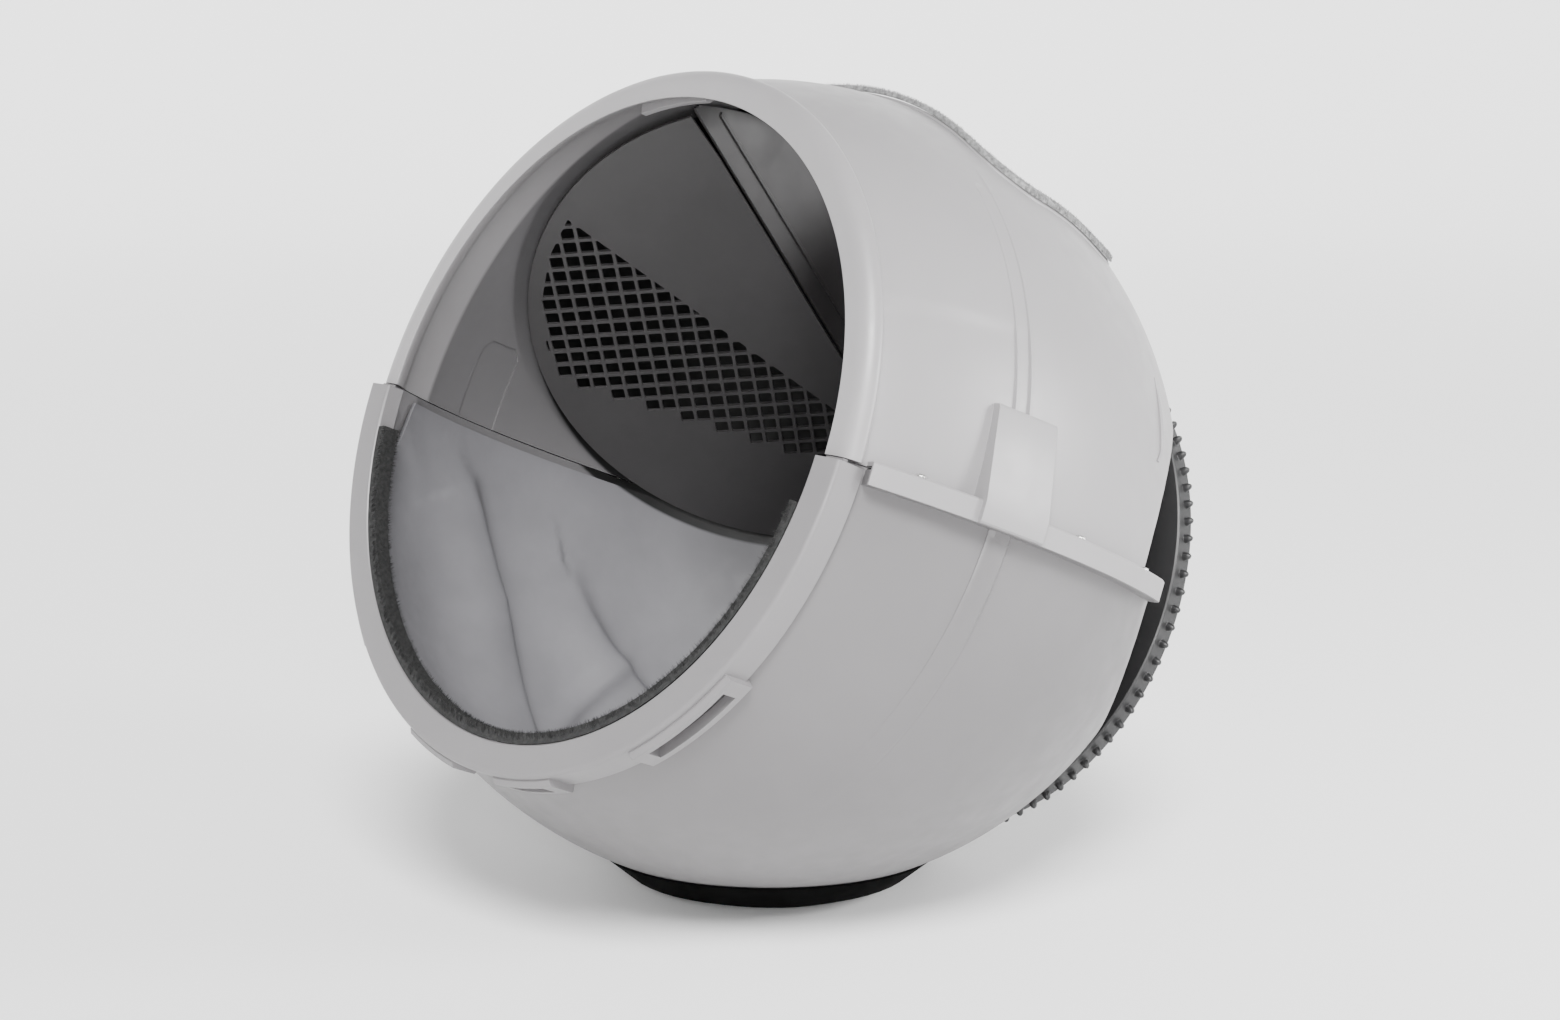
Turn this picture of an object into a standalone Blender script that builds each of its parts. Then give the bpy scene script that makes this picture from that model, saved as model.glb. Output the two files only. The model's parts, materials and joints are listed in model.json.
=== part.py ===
"""Drum of a rotating cat litter box: hood, pan, liner, sifting screen and ring gear on a small foot.

Run it with: blender --background --python part.py
Lengths are in metres and angles in degrees.  The world frame has +Z up, the entry faces -Y, and the
origin is the centre of the foot's underside.  The drum's pieces are modelled in the drum frame, whose
Y axis is the drum's axis, running back from the front rim, and whose Z axis is normal to the seam
between hood and pan.  An empty tilts that frame back into the world.
"""
import math

import bmesh
import bpy
from mathutils import Matrix, Vector

# Drum body: an ellipse turned about the drum's axis
BODY_RADIUS = 0.2505           # widest radius, outside
BODY_HALF_LENGTH = 0.261       # half the ellipse's length along the axis
BODY_CENTRE = 0.150            # widest section, behind the front rim
REAR_WALL = 0.342              # back face of the flat rear wall, behind the front rim
WALL = 0.003                   # shell thickness
DRUM_TILT = 22.5               # the entry faces this far upward
GAP = 0.0003                   # clearance between touching pieces
SEAM_GAP = 0.0006              # opening of the seam between hood and pan
HOOD_FLAT_INSET = 0.0342       # how far the right rear flat cuts into the hood at the rear wall
PAN_FLAT_INSET = 0.0212        # the same on the pan
FLAT_SLOPE_DEG = 45.0          # the flat's angle to the drum's axis

# Rims
BEAD_HEIGHT = 0.010            # front bead of the hood, outside the body
BEAD_WIDTH = 0.012
PAN_LIP_CLEARANCE = 0.0012     # between the pan's front lip and the bezel's skirt
PAN_LIP_FRONT = 0.0005
PAN_LIP_WIDTH = 0.003

# Seam rails along both sides
RAIL_BACK = 0.262
RAIL_REACH = 0.011             # how far the hood's rail stands out
RAIL_TOP = 0.003               # hood rail's top above the seam
RAIL_DROP = 0.010              # hood rail's skirt below the seam
SKIRT = 0.0025                 # thickness of that skirt
RAIL_FIT = 0.0004              # clearance between pan rail and skirt
GASKET_HEIGHT = 0.0012
GASKET_NEAR = 0.0004           # its inner edge, out from the drum's outside
SCREW_STATIONS = (0.045, 0.158, 0.232)   # flange screws, behind the front rim
SCREW_RADIUS = 0.0013
SCREW_HEAD_RADIUS = 0.0030
SCREW_HEAD_HEIGHT = 0.0022
SCREW_LENGTH = 0.0085
SCREW_CLEARANCE = 0.0003

# Side bosses and ribs
BOSS_FRONT = 0.079
BOSS_BACK = 0.121
BOSS_HEIGHT = 0.058
BOSS_REACH = 0.0145
BOSS_TOP_REACH = 0.0065
RIB_FRONT = 0.094
RIB_BACK = 0.110
RIB_END_DEG = 53.0             # where the pan's rib has faded out
RIB_REACH = 0.0032
RIDGE_STATIONS = (0.094, 0.104)
RIDGE_WIDTH = 0.0022
RIDGE_START_DEG = 13.0
RIDGE_END_DEG = 59.0
RIDGE_REACH = 0.0012
FADE_SINK = 0.0002             # a fading strip ends this far below the surface

# Waste opening in the hood, beside the divider, and its collar and seal
SEPTUM_X = -0.0765             # the divider's plane, left of the drum's axis
PORT_LEFT = SEPTUM_X + 0.0105
PORT_RIGHT = 0.157
PORT_FRONT = 0.115
PORT_BACK = 0.250
PORT_CORNER = 0.040
COLLAR_WIDTH = 0.0035
COLLAR_STAND = 0.0015
PORT_SEAL_WIDTH = 0.0025
PORT_SEAL_HEIGHT = 0.0050

# Entry bezel, its snap straps and its seal
BEZEL_OUTER = 0.014            # outside radius beyond the body's front radius
BEZEL_FRONT = -0.006
BEZEL_BACK = 0.014
RAIL_FRONT = BEZEL_BACK + 0.0045   # the seam rails start just behind the bezel
BEZEL_WALL = 0.0027
BEZEL_INNER = 0.0058           # inside radius, in from the body's front radius
BEZEL_END_DEG = 0.6
STRAPS = ((-46.5, 10.5), (-80.5, 6.5), (-104.0, 6.5), (-137.0, 5.0))   # centre and half width
STRAP_REACH = 0.0042
STRAP_BACK = 0.0175
WINDOW_MARGIN_DEG = 2.6
WINDOW_FRONT = 0.0030
WINDOW_BACK = 0.0125
CATCH_MARGIN_DEG = 0.8
CATCH_BACK = 0.0098
CATCH_CLEARANCE = 0.0010
ENTRY_SEAL_DEPTH = 0.0055
ENTRY_SEAL_END_DEG = 8.5

# Liner
LINER_WALL = 0.003
LINER_GAP = 0.0024
LINER_FRONT = 0.0085
LINER_END_DEG = 1.2

# Septum and sifting screen
SEPTUM_WALL = 0.0025
SEAM_START_Y = 0.063           # screen and divider meet along a line that starts here, at the ceiling
SEAM_SLOPE_DEG = 29.3          # fall of that line towards the back
SCREEN_LEAN_DEG = 54.1         # screen's angle to the divider
SCREEN_WALL = 0.0025
SCREEN_TOP_GAP = 0.0026         # from the seam line to the screen's upper edge
SEPTUM_SETBACK = 0.006         # divider's front corner, behind the start of the seam line
SEPTUM_RISE = 0.0012           # divider's lower edge above the seam line
SCREEN_EDGE_GAP = 0.0095       # from the drum's outside to the screen's edge
LATTICE_PITCH = 0.0111
LATTICE_TURN_DEG = 19.5
HOLE_SIDE = 0.0089
HOLE_MARGIN = 0.0065           # solid border at the screen's edge
SMALLEST_HOLE = 0.00001        # area in square metres; smaller clipped holes are left solid
MESH_TOP = ((0.029, 0.122), (0.247, 0.0302))   # along and below the seam line
MESH_FIRST_HOLE = (0.1484, 0.190)
STANDOFFS = ((0.040, 0.100), (0.200, 0.180), (0.300, 0.120))   # along and below the seam line
STANDOFF_RADIUS = 0.005
TAB_DEG = (92.0, 108.0)
TAB_FRONT = 0.018
TAB_BACK = 0.030
TAB_WALL = 0.0025
TAB_GAP = 0.0016

# Ring gear, rear hub and magnets
GEAR_OVERHANG = 0.0052         # rim's radius beyond the rear wall's radius
GEAR_RIM_WALL = 0.0065
GEAR_WIDTH = 0.014
GEAR_WEB = 0.004
GEAR_WEB_INNER = 0.112
GEAR_TEETH = 96
TOOTH_RADIUS = 0.0025
TOOTH_TIP_RADIUS = 0.0012
TOOTH_LENGTH = 0.0050
TOOTH_STATION = 0.008          # along the gear's width
GEAR_SCREWS_DEG = (-161.0, -127.0, -92.0, -57.0, -22.0)
GEAR_SCREW_CIRCLE = 0.122
HUB_BOSS_RADIUS = 0.046        # full disc on the pan's rear wall around the axis
HUB_FLANGE_RADIUS = 0.034
HUB_FLANGE_WALL = 0.004
HUB_STUB_RADIUS = 0.015
HUB_STUB_LENGTH = 0.014
HUB_SCREW_CIRCLE = 0.026
HUB_SCREWS_DEG = (33.0, 153.0, 273.0)
MAGNETS_DEG = (-100.0, 80.0)
MAGNET_RADIUS = 0.006
MAGNET_HEIGHT = 0.004
MAGNET_CIRCLE = 0.150

# Foot: a shallow dish that hugs the drum's underside
FOOT_DROP = 0.0016             # underside below the drum's lowest point
FOOT_RADIUS = 0.108
FOOT_RIM_SHIFT = 0.008         # the rim's centre lies this far ahead of the flat's, clear of the gear
FOOT_EDGE = 0.001              # thickness at the rim
FOOT_FLAT_RADIUS = 0.045       # part that stands on the floor
FOOT_SIDE = ((0.070, 0.0022), (0.090, 0.0095))    # radius and height of the side between flat and rim
FOOT_TOP_RADII = (0.090, 0.070, 0.050, 0.030, 0.012)
FOOT_SCREW_CIRCLE = 0.040
FOOT_SCREWS_DEG = (45.0, 135.0, 225.0, 315.0)
FOOT_SCREW_HEAD_DEPTH = 0.0024
HEAD_RECESS_MARGIN = 0.0006

# Grid density
SHELL_STEPS = 30
SHELL_ROWS = 14
LINER_STEPS = 24
LINER_ROWS = 10
RAIL_STEPS = 13
RING_STEPS = 48
SCREEN_EDGE_STEPS = 72
CYLINDER_SIDES = 10

COLOURS = {
    "hood_plastic": ((0.50, 0.50, 0.51), 0.42),
    "pan_plastic": ((0.47, 0.47, 0.48), 0.42),
    "bezel_plastic": ((0.48, 0.48, 0.49), 0.42),
    "liner_rubber": ((0.31, 0.31, 0.32), 0.65),
    "seal_pile": ((0.035, 0.035, 0.037), 0.95),
    "port_pile": ((0.12, 0.12, 0.12), 0.95),
    "screen_plastic": ((0.085, 0.083, 0.085), 0.5),
    "septum_plastic": ((0.07, 0.068, 0.07), 0.5),
    "gear_plastic": ((0.016, 0.016, 0.017), 0.4),
    "foot_plastic": ((0.008, 0.008, 0.008), 0.5),
    "gasket_foam": ((0.03, 0.03, 0.03), 0.9),
    "magnet_cap": ((0.05, 0.05, 0.055), 0.35),
    "screw_steel": ((0.62, 0.62, 0.60), 0.32),
}


# ---------------------------------------------------------------- scene and mesh helpers
def clear_scene():
    for item in list(bpy.data.objects):
        bpy.data.objects.remove(item, do_unlink=True)


def material(name):
    existing = bpy.data.materials.get(name)
    if existing:
        return existing
    colour, roughness = COLOURS[name]
    made = bpy.data.materials.new(name)
    made.use_nodes = True
    shader = made.node_tree.nodes["Principled BSDF"]
    shader.inputs["Base Color"].default_value = (*colour, 1.0)
    shader.inputs["Roughness"].default_value = roughness
    shader.inputs["Metallic"].default_value = 1.0 if name == "screw_steel" else 0.0
    return made


def make_object(name, points, faces, material_name, parent, smooth=True):
    mesh = bpy.data.meshes.new(name)
    mesh.from_pydata([tuple(point) for point in points], [], faces)
    work = bmesh.new()
    work.from_mesh(mesh)
    bmesh.ops.recalc_face_normals(work, faces=work.faces)
    work.to_mesh(mesh)
    work.free()
    mesh.materials.append(material(material_name))
    if smooth:
        mesh.shade_smooth()
        mesh.set_sharp_from_angle(angle=math.radians(35.0))
    made = bpy.data.objects.new(name, mesh)
    bpy.context.scene.collection.objects.link(made)
    made.parent = parent
    return made


def swept_solid(sections, closed=False):
    """Joins equal sections, each a loop of points, into one closed solid."""
    size = len(sections[0])
    count = len(sections)
    points = [point for section in sections for point in section]
    faces = []
    for index in range(count if closed else count - 1):
        here = index * size
        there = ((index + 1) % count) * size
        for corner in range(size):
            following = (corner + 1) % size
            faces.append((here + corner, here + following, there + following, there + corner))
    if not closed:
        faces.append(tuple(range(size)))
        faces.append(tuple(range((count - 1) * size, count * size)))
    return points, faces


def swept_skin(outer_rows, inner_rows):
    """Closed solid between two grids of points; row k of each belongs to the same angle."""
    size = len(outer_rows[0])
    sections = [outer + inner[::-1] for outer, inner in zip(outer_rows, inner_rows)]
    points, faces = swept_solid(sections)
    faces = faces[:-2]
    for first in (0, (len(sections) - 1) * 2 * size):
        for step in range(size - 1):
            opposite = 2 * size - 1 - step
            faces.append((first + step, first + step + 1, first + opposite - 1, first + opposite))
    return points, faces


def boolean(target, tool, operation):
    tool.hide_render = True
    tool.display_type = "WIRE"
    modifier = target.modifiers.new(operation.lower() + "_" + tool.name, "BOOLEAN")
    modifier.operation = operation
    modifier.object = tool
    modifier.solver = "EXACT"


def cylinder(start, end, radius, end_radius=None, sides=CYLINDER_SIDES):
    """Points and faces of a cylinder or cone between two points."""
    end_radius = radius if end_radius is None else end_radius
    axis = (end - start).normalized()
    turn = axis.to_track_quat("Z", "Y").to_matrix()
    sections = []
    for centre, size in ((start, radius), (end, end_radius)):
        ring = []
        for side in range(sides):
            angle = 2 * math.pi * side / sides
            ring.append(centre + turn @ Vector((size * math.cos(angle), size * math.sin(angle), 0)))
        sections.append(ring)
    return swept_solid(sections)


def merged(pieces):
    """Joins several (points, faces) pairs into one."""
    points, faces = [], []
    for piece_points, piece_faces in pieces:
        offset = len(points)
        points.extend(piece_points)
        faces.extend(tuple(index + offset for index in face) for face in piece_faces)
    return points, faces


def screw_mesh(head_base, axis, radius, head_radius, head_height, length):
    """One screw: a domed head standing on head_base along axis, and its shank below."""
    turn = axis.to_track_quat("Z", "Y").to_matrix()
    profile = (
        (radius, -length), (radius, 0), (head_radius, 0), (head_radius, head_height * 0.45),
        (head_radius * 0.8, head_height * 0.85), (head_radius * 0.35, head_height),
    )
    sections = []
    for size, height in profile:
        ring = []
        for side in range(CYLINDER_SIDES):
            angle = 2 * math.pi * side / CYLINDER_SIDES
            ring.append(head_base + turn @ Vector((size * math.cos(angle), size * math.sin(angle), height)))
        sections.append(ring)
    return swept_solid(sections)


# ---------------------------------------------------------------- the drum's shape
def body_radius(y, inset=0.0):
    """Radius of the drum's outside at y, or of the surface that lies inset below it."""
    along = (y - BODY_CENTRE) / (BODY_HALF_LENGTH - inset)
    return (BODY_RADIUS - inset) * math.sqrt(max(0.0, 1.0 - along * along))


def flat_reach(y, inset, flat_inset):
    """Distance from the axis to the right rear flat at y."""
    rear = body_radius(REAR_WALL) - flat_inset - inset * math.sqrt(2.0)
    return rear + (REAR_WALL - y) / math.tan(math.radians(FLAT_SLOPE_DEG))


def skin_point(degrees, y, inset, flat_inset, raised=0.0):
    angle = math.radians(degrees)
    radius = body_radius(y, inset) + raised
    if math.cos(angle) > 0.2:
        radius = min(radius, flat_reach(y, inset, flat_inset) / math.cos(angle))
    return Vector((radius * math.cos(angle), y, radius * math.sin(angle)))


def spread(start, end, steps):
    return [start + (end - start) * step / steps for step in range(steps + 1)]


def body_stations(front, back, rows=SHELL_ROWS):
    """Stations along the axis, closer together towards the rear, where the body curves in."""
    return [front + (back - front) * math.sin(math.pi / 2 * step / rows) for step in range(rows + 1)]


def shell_rows(degrees, rim, inset, flat_inset, front, back, hub):
    """One line of shell points at one angle: rim, body, then the rear wall in to the hub."""
    row = [skin_point(degrees, y, inset, flat_inset, raised) for y, raised in rim]
    row += [skin_point(degrees, y, inset, flat_inset) for y in body_stations(front, back)]
    edge = row[-1]
    for share in (0.75, 0.5):
        row.append(Vector((edge.x * share, edge.y, edge.z * share)))
    outward = math.radians(degrees)
    row.append(Vector((hub * math.cos(outward), back, hub * math.sin(outward))))
    return row


def shell(name, material_name, start, end, outer_rim, inner_rim, flat_inset, lift, hub, parent):
    outer, inner = [], []
    front = outer_rim[-1][0] + 0.004
    for degrees in spread(start, end, SHELL_STEPS):
        outer.append(shell_rows(degrees, outer_rim, 0.0, flat_inset, front, REAR_WALL, hub))
        inner.append(shell_rows(degrees, inner_rim, WALL, flat_inset, front, REAR_WALL - WALL, hub))
    points, faces = swept_skin(outer, inner)
    points = [point + Vector((0, 0, lift)) for point in points]
    return make_object(name, points, faces, material_name, parent)


# ---------------------------------------------------------------- seam rails
def rail_frame(side, y):
    """Point on the drum's outside at the seam, and the outward normal there."""
    step = 0.001
    slope = (body_radius(y + step) - body_radius(y - step)) / (2 * step)
    normal = Vector((side, -slope, 0)).normalized()
    return Vector((side * body_radius(y), y, 0)), normal


def rail_root(side, y, flat_inset):
    """A point inside the shell's wall at the seam, for a rail to grow out of."""
    reach = body_radius(y)
    if side > 0:
        reach = min(reach, flat_reach(y, 0.0, flat_inset))
    return Vector((side * (reach - WALL / 2), y, 0))


def rail(side, profile, flat_inset, front=RAIL_FRONT, back=RAIL_BACK):
    """Rail along one side; profile is (outward, up) with None for the root inside the wall."""
    sections = []
    for y in spread(front, back, RAIL_STEPS):
        point, normal = rail_frame(side, y)
        section = []
        for outward, up in profile:
            base = rail_root(side, y, flat_inset) if outward is None else point + normal * outward
            section.append(base + Vector((0, 0, up)))
        sections.append(section)
    return swept_solid(sections)


def boss(side):
    """Pad on the hood that grows out of the rail; its top leans in towards the shell."""
    top_recess = BODY_RADIUS - math.sqrt(BODY_RADIUS ** 2 - BOSS_HEIGHT ** 2)
    profile = (
        (RAIL_REACH - SKIRT / 2, -RAIL_DROP), (BOSS_REACH, -RAIL_DROP), (BOSS_REACH, RAIL_TOP),
        (BOSS_TOP_REACH - top_recess, BOSS_HEIGHT), (-top_recess - WALL / 2, BOSS_HEIGHT),
        (-WALL / 2, RAIL_TOP / 2), (RAIL_REACH - SKIRT / 2, RAIL_TOP / 2),
    )
    return rail(side, profile, 0.0, BOSS_FRONT, BOSS_BACK)


def raised_strip(front, back, angles, reach_at, lift):
    """Low strip across the drum's outside; reach_at gives its height at each angle."""
    sections = []
    for degrees in angles:
        angle = math.radians(degrees)
        out = Vector((math.cos(angle), 0, math.sin(angle)))
        section = []
        for y, height in ((front, reach_at(degrees)), (back, reach_at(degrees)), (back, -WALL / 2), (front, -WALL / 2)):
            section.append(out * (body_radius(y) + height) + Vector((0, y, lift)))
        sections.append(section)
    return swept_solid(sections)


def ridge_reach(degrees):
    return RIDGE_REACH * (RIDGE_END_DEG - degrees) / (RIDGE_END_DEG - RIDGE_START_DEG) - FADE_SINK


def rib_reach(degrees):
    return RIB_REACH * (RIB_END_DEG + degrees) / RIB_END_DEG - FADE_SINK


def flange_screw_places():
    """Name and head position of each flange screw, in the drum frame."""
    places = []
    for side, word in ((1, "right"), (-1, "left")):
        for number, y in enumerate(SCREW_STATIONS, 1):
            point, normal = rail_frame(side, y)
            centre = point + normal * (RAIL_REACH - SKIRT - RAIL_FIT) / 2
            places.append((f"flange_screw_{word}_{number}", centre + Vector((0, 0, RAIL_TOP + GAP))))
    return places


# ---------------------------------------------------------------- shells
def hood_rim():
    outer = [(0.0, BEAD_HEIGHT * 0.35), (0.0015, BEAD_HEIGHT * 0.8), (BEAD_WIDTH / 2, BEAD_HEIGHT)]
    outer += [(BEAD_WIDTH - 0.0015, BEAD_HEIGHT * 0.8), (BEAD_WIDTH, BEAD_HEIGHT * 0.3)]
    inner = [(0.0, -0.001), (0.0015, -0.002), (BEAD_WIDTH / 2, -0.0024), (BEAD_WIDTH - 0.0015, -0.002)]
    inner += [(BEAD_WIDTH, -0.001)]
    return outer, inner


def upper_shell(drum):
    outer_rim, inner_rim = hood_rim()
    hood = shell("upper_shell", "hood_plastic", 0.0, 180.0, outer_rim, inner_rim, HOOD_FLAT_INSET,
                 SEAM_GAP / 2, HUB_BOSS_RADIUS + SEAM_GAP, drum)
    underside = SEAM_GAP / 2 + GAP
    profile = (
        (None, underside), (RAIL_REACH - SKIRT, underside), (RAIL_REACH - SKIRT, -RAIL_DROP),
        (RAIL_REACH, -RAIL_DROP), (RAIL_REACH, RAIL_TOP), (None, RAIL_TOP),
    )
    rails = [rail(side, profile, HOOD_FLAT_INSET) for side in (1, -1)]
    ridges = []
    for y in RIDGE_STATIONS:
        angles = spread(RIDGE_START_DEG, RIDGE_END_DEG, 8)
        ridges.append(raised_strip(y - RIDGE_WIDTH / 2, y + RIDGE_WIDTH / 2, angles, ridge_reach, SEAM_GAP / 2))
    boolean(hood, port_cutter(drum), "DIFFERENCE")
    rail_pair = make_object("rail_tool", *merged(rails), "hood_plastic", drum)
    boolean(rail_pair, screw_hole_cutter(drum), "DIFFERENCE")
    boolean(hood, rail_pair, "UNION")
    boolean(hood, make_object("boss_tool", *merged([boss(1), boss(-1)]), "hood_plastic", drum), "UNION")
    boolean(hood, make_object("ridge_tool", *merged(ridges), "hood_plastic", drum), "UNION")


def lower_shell(drum):
    lip_back = PAN_LIP_FRONT + PAN_LIP_WIDTH
    lip_radius = bezel_radii()[1] - PAN_LIP_CLEARANCE
    outer_rim = [(y, lip_radius - body_radius(y)) for y in (PAN_LIP_FRONT, lip_back)] + [(lip_back + 0.0005, 0.0008)]
    inner_rim = [(PAN_LIP_FRONT, 0.0), (lip_back, 0.0), (lip_back + 0.0005, 0.0)]
    pan = shell("lower_shell", "pan_plastic", -180.0, 0.0, outer_rim, inner_rim, PAN_FLAT_INSET,
                -SEAM_GAP / 2, HUB_BOSS_RADIUS * 0.4, drum)
    reach = RAIL_REACH - SKIRT - RAIL_FIT
    top = -SEAM_GAP / 2 - GASKET_HEIGHT
    profile = ((None, top), (reach, top), (reach, -RAIL_DROP), (None, -RAIL_DROP))
    rails = [rail(side, profile, PAN_FLAT_INSET) for side in (1, -1)]
    rail_pair = make_object("pan_rail_tool", *merged(rails), "pan_plastic", drum)
    boolean(rail_pair, screw_hole_cutter(drum), "DIFFERENCE")
    boolean(pan, rail_pair, "UNION")
    rib = raised_strip(RIB_FRONT, RIB_BACK, spread(-2.0, -RIB_END_DEG, 12), rib_reach, 0.0)
    boolean(pan, make_object("rib_tool", *rib, "pan_plastic", drum), "UNION")
    catches = [catch(centre, half) for centre, half in STRAPS]
    boolean(pan, make_object("catch_tool", *merged(catches), "pan_plastic", drum), "UNION")
    back = Vector((0, REAR_WALL, 0))
    disc = cylinder(back - Vector((0, WALL, 0)), back, HUB_BOSS_RADIUS, sides=48)
    boolean(pan, make_object("hub_disc_tool", *disc, "pan_plastic", drum), "UNION")
    boolean(pan, rear_hole_cutter(drum), "DIFFERENCE")
    boolean(pan, foot_hole_cutter(), "DIFFERENCE")


def screw_hole_cutter(drum):
    """Holes for all the flange screws, through hood rail and pan rail; hood and pan share it."""
    existing = bpy.data.objects.get("flange_hole_tool")
    if existing:
        return existing
    radius = SCREW_RADIUS + SCREW_CLEARANCE
    holes = []
    for _, head in flange_screw_places():
        holes.append(cylinder(head + Vector((0, 0, 0.002)), head - Vector((0, 0, RAIL_TOP + RAIL_DROP + 0.002)), radius))
    return make_object("flange_hole_tool", *merged(holes), "hood_plastic", drum)


def flange_screws(drum):
    for name, head in flange_screw_places():
        mesh = screw_mesh(head, Vector((0, 0, 1)), SCREW_RADIUS, SCREW_HEAD_RADIUS, SCREW_HEAD_HEIGHT, SCREW_LENGTH)
        make_object(name, *mesh, "screw_steel", drum)


def seam_gaskets(drum):
    for side, word in ((1, "right"), (-1, "left")):
        far = (RAIL_REACH - SKIRT - RAIL_FIT) / 2 - SCREW_RADIUS - SCREW_CLEARANCE - GAP
        low = -SEAM_GAP / 2 - GASKET_HEIGHT + GAP / 2
        profile = ((GASKET_NEAR, low), (far, low), (far, 0.0), (GASKET_NEAR, 0.0))
        make_object("seam_gasket_" + word, *rail(side, profile, PAN_FLAT_INSET), "gasket_foam", drum)


# ---------------------------------------------------------------- waste opening
def port_outline(margin, corner_steps=6):
    """Rounded rectangle in plan, grown by margin; counter-clockwise (x, y) pairs."""
    radius = PORT_CORNER + margin
    left, right = PORT_LEFT + PORT_CORNER, PORT_RIGHT - PORT_CORNER
    front, back = PORT_FRONT + PORT_CORNER, PORT_BACK - PORT_CORNER
    outline = []
    for centre_x, centre_y, start in ((right, back, 0), (left, back, 90), (left, front, 180), (right, front, 270)):
        for step in range(corner_steps + 1):
            angle = math.radians(start + 90.0 * step / corner_steps)
            outline.append((centre_x + radius * math.cos(angle), centre_y + radius * math.sin(angle)))
    return outline


def port_cutter(drum):
    sections = [[Vector((x, y, z)) for x, y in port_outline(0.0)] for z in (0.04, BODY_RADIUS + 0.05)]
    return make_object("port_tool", *swept_solid(sections), "hood_plastic", drum)


def hood_height(x, y, inset=0.0):
    radius = body_radius(y, inset)
    return math.sqrt(max(0.0, radius * radius - x * x)) + SEAM_GAP / 2


def finer(outline, parts):
    """Splits each side of a closed outline into equal parts."""
    fine = []
    for index, (x, y) in enumerate(outline):
        next_x, next_y = outline[(index + 1) % len(outline)]
        length = math.hypot(next_x - x, next_y - y)
        cuts = parts if length > 0.02 else 1
        for cut in range(cuts):
            share = cut / cuts
            fine.append((x + (next_x - x) * share, y + (next_y - y) * share))
    return fine


def port_ring(name, material_name, outside, inside, low, high, drum):
    """Ring round the waste opening between two margins, from low to high above the hood's surface."""
    outer = finer(port_outline(outside), 6)
    inner = finer(port_outline(inside), 6)
    sections = []
    for (ox, oy), (ix, iy) in zip(outer, inner):
        outer_z, inner_z = hood_height(ox, oy), hood_height(ix, iy)
        sections.append([
            Vector((ox, oy, outer_z + low)), Vector((ox, oy, outer_z + high)),
            Vector((ix, iy, inner_z + high)), Vector((ix, iy, inner_z + low)),
        ])
    return make_object(name, *swept_solid(sections, closed=True), material_name, drum)


def waste_port(drum):
    port_ring("waste_port_collar", "hood_plastic", -0.0008, -0.0008 - COLLAR_WIDTH,
              -WALL * 1.6, COLLAR_STAND, drum)
    seal_edge = -0.0008 - (COLLAR_WIDTH - PORT_SEAL_WIDTH) / 2
    port_ring("waste_port_seal", "port_pile", seal_edge, seal_edge - PORT_SEAL_WIDTH,
              COLLAR_STAND + GAP * 1.5, COLLAR_STAND + GAP + PORT_SEAL_HEIGHT, drum)


# ---------------------------------------------------------------- entry bezel
def arc_solid(profile, start, end, steps):
    """Turns a closed (radius, y) profile about the drum's axis."""
    sections = []
    for degrees in spread(start, end, steps):
        angle = math.radians(degrees)
        sections.append([Vector((r * math.cos(angle), y, r * math.sin(angle))) for r, y in profile])
    return swept_solid(sections)


def bezel_radii():
    front = body_radius(0.0)
    outer = front + BEZEL_OUTER
    return outer, outer - BEZEL_WALL, front - BEZEL_INNER


def catch(centre, half):
    """Pad on the pan behind a window of the bezel, just under the bezel's skirt."""
    _, skirt, _ = bezel_radii()
    reach = half - WINDOW_MARGIN_DEG - CATCH_MARGIN_DEG
    front = PAN_LIP_FRONT + 0.001
    profile = ((body_radius(front) - WALL / 2, front), (skirt - CATCH_CLEARANCE, WINDOW_FRONT + 0.0008),
               (skirt - CATCH_CLEARANCE, CATCH_BACK), (body_radius(CATCH_BACK) - WALL / 2, CATCH_BACK))
    return arc_solid(profile, centre - reach, centre + reach, 3)


def entry_bezel(drum):
    outer, skirt, inner = bezel_radii()
    face_back = BEZEL_FRONT + BEZEL_WALL
    lip = inner + BEZEL_WALL * 0.7
    profile = (
        (inner, BEZEL_FRONT), (outer - 0.002, BEZEL_FRONT), (outer, BEZEL_FRONT + 0.002), (outer, BEZEL_BACK),
        (skirt, BEZEL_BACK), (skirt, face_back), (lip, face_back), (lip, -BEZEL_FRONT), (inner, -BEZEL_FRONT),
    )
    mesh = arc_solid(profile, -180.0 + BEZEL_END_DEG, -BEZEL_END_DEG, RING_STEPS)
    bezel = make_object("entry_bezel", *mesh, "bezel_plastic", drum)
    strap_front = BEZEL_FRONT + 0.004
    middle = outer - BEZEL_WALL / 2
    strap = ((middle, strap_front), (outer + STRAP_REACH, strap_front + 0.002), (outer + STRAP_REACH, STRAP_BACK),
             (skirt + BEZEL_WALL * 0.3, STRAP_BACK), (middle, BEZEL_BACK - 0.001))
    window = ((skirt - 0.002, WINDOW_FRONT), (outer + 0.01, WINDOW_FRONT), (outer + 0.01, WINDOW_BACK),
              (skirt - 0.002, WINDOW_BACK))
    straps, windows = [], []
    for centre, half in STRAPS:
        reach = half - WINDOW_MARGIN_DEG
        straps.append(arc_solid(strap, centre - half, centre + half, 6))
        windows.append(arc_solid(window, centre - reach, centre + reach, 5))
    boolean(bezel, make_object("strap_tool", *merged(straps), "bezel_plastic", drum), "UNION")
    boolean(bezel, make_object("window_tool", *merged(windows), "bezel_plastic", drum), "DIFFERENCE")


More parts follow.
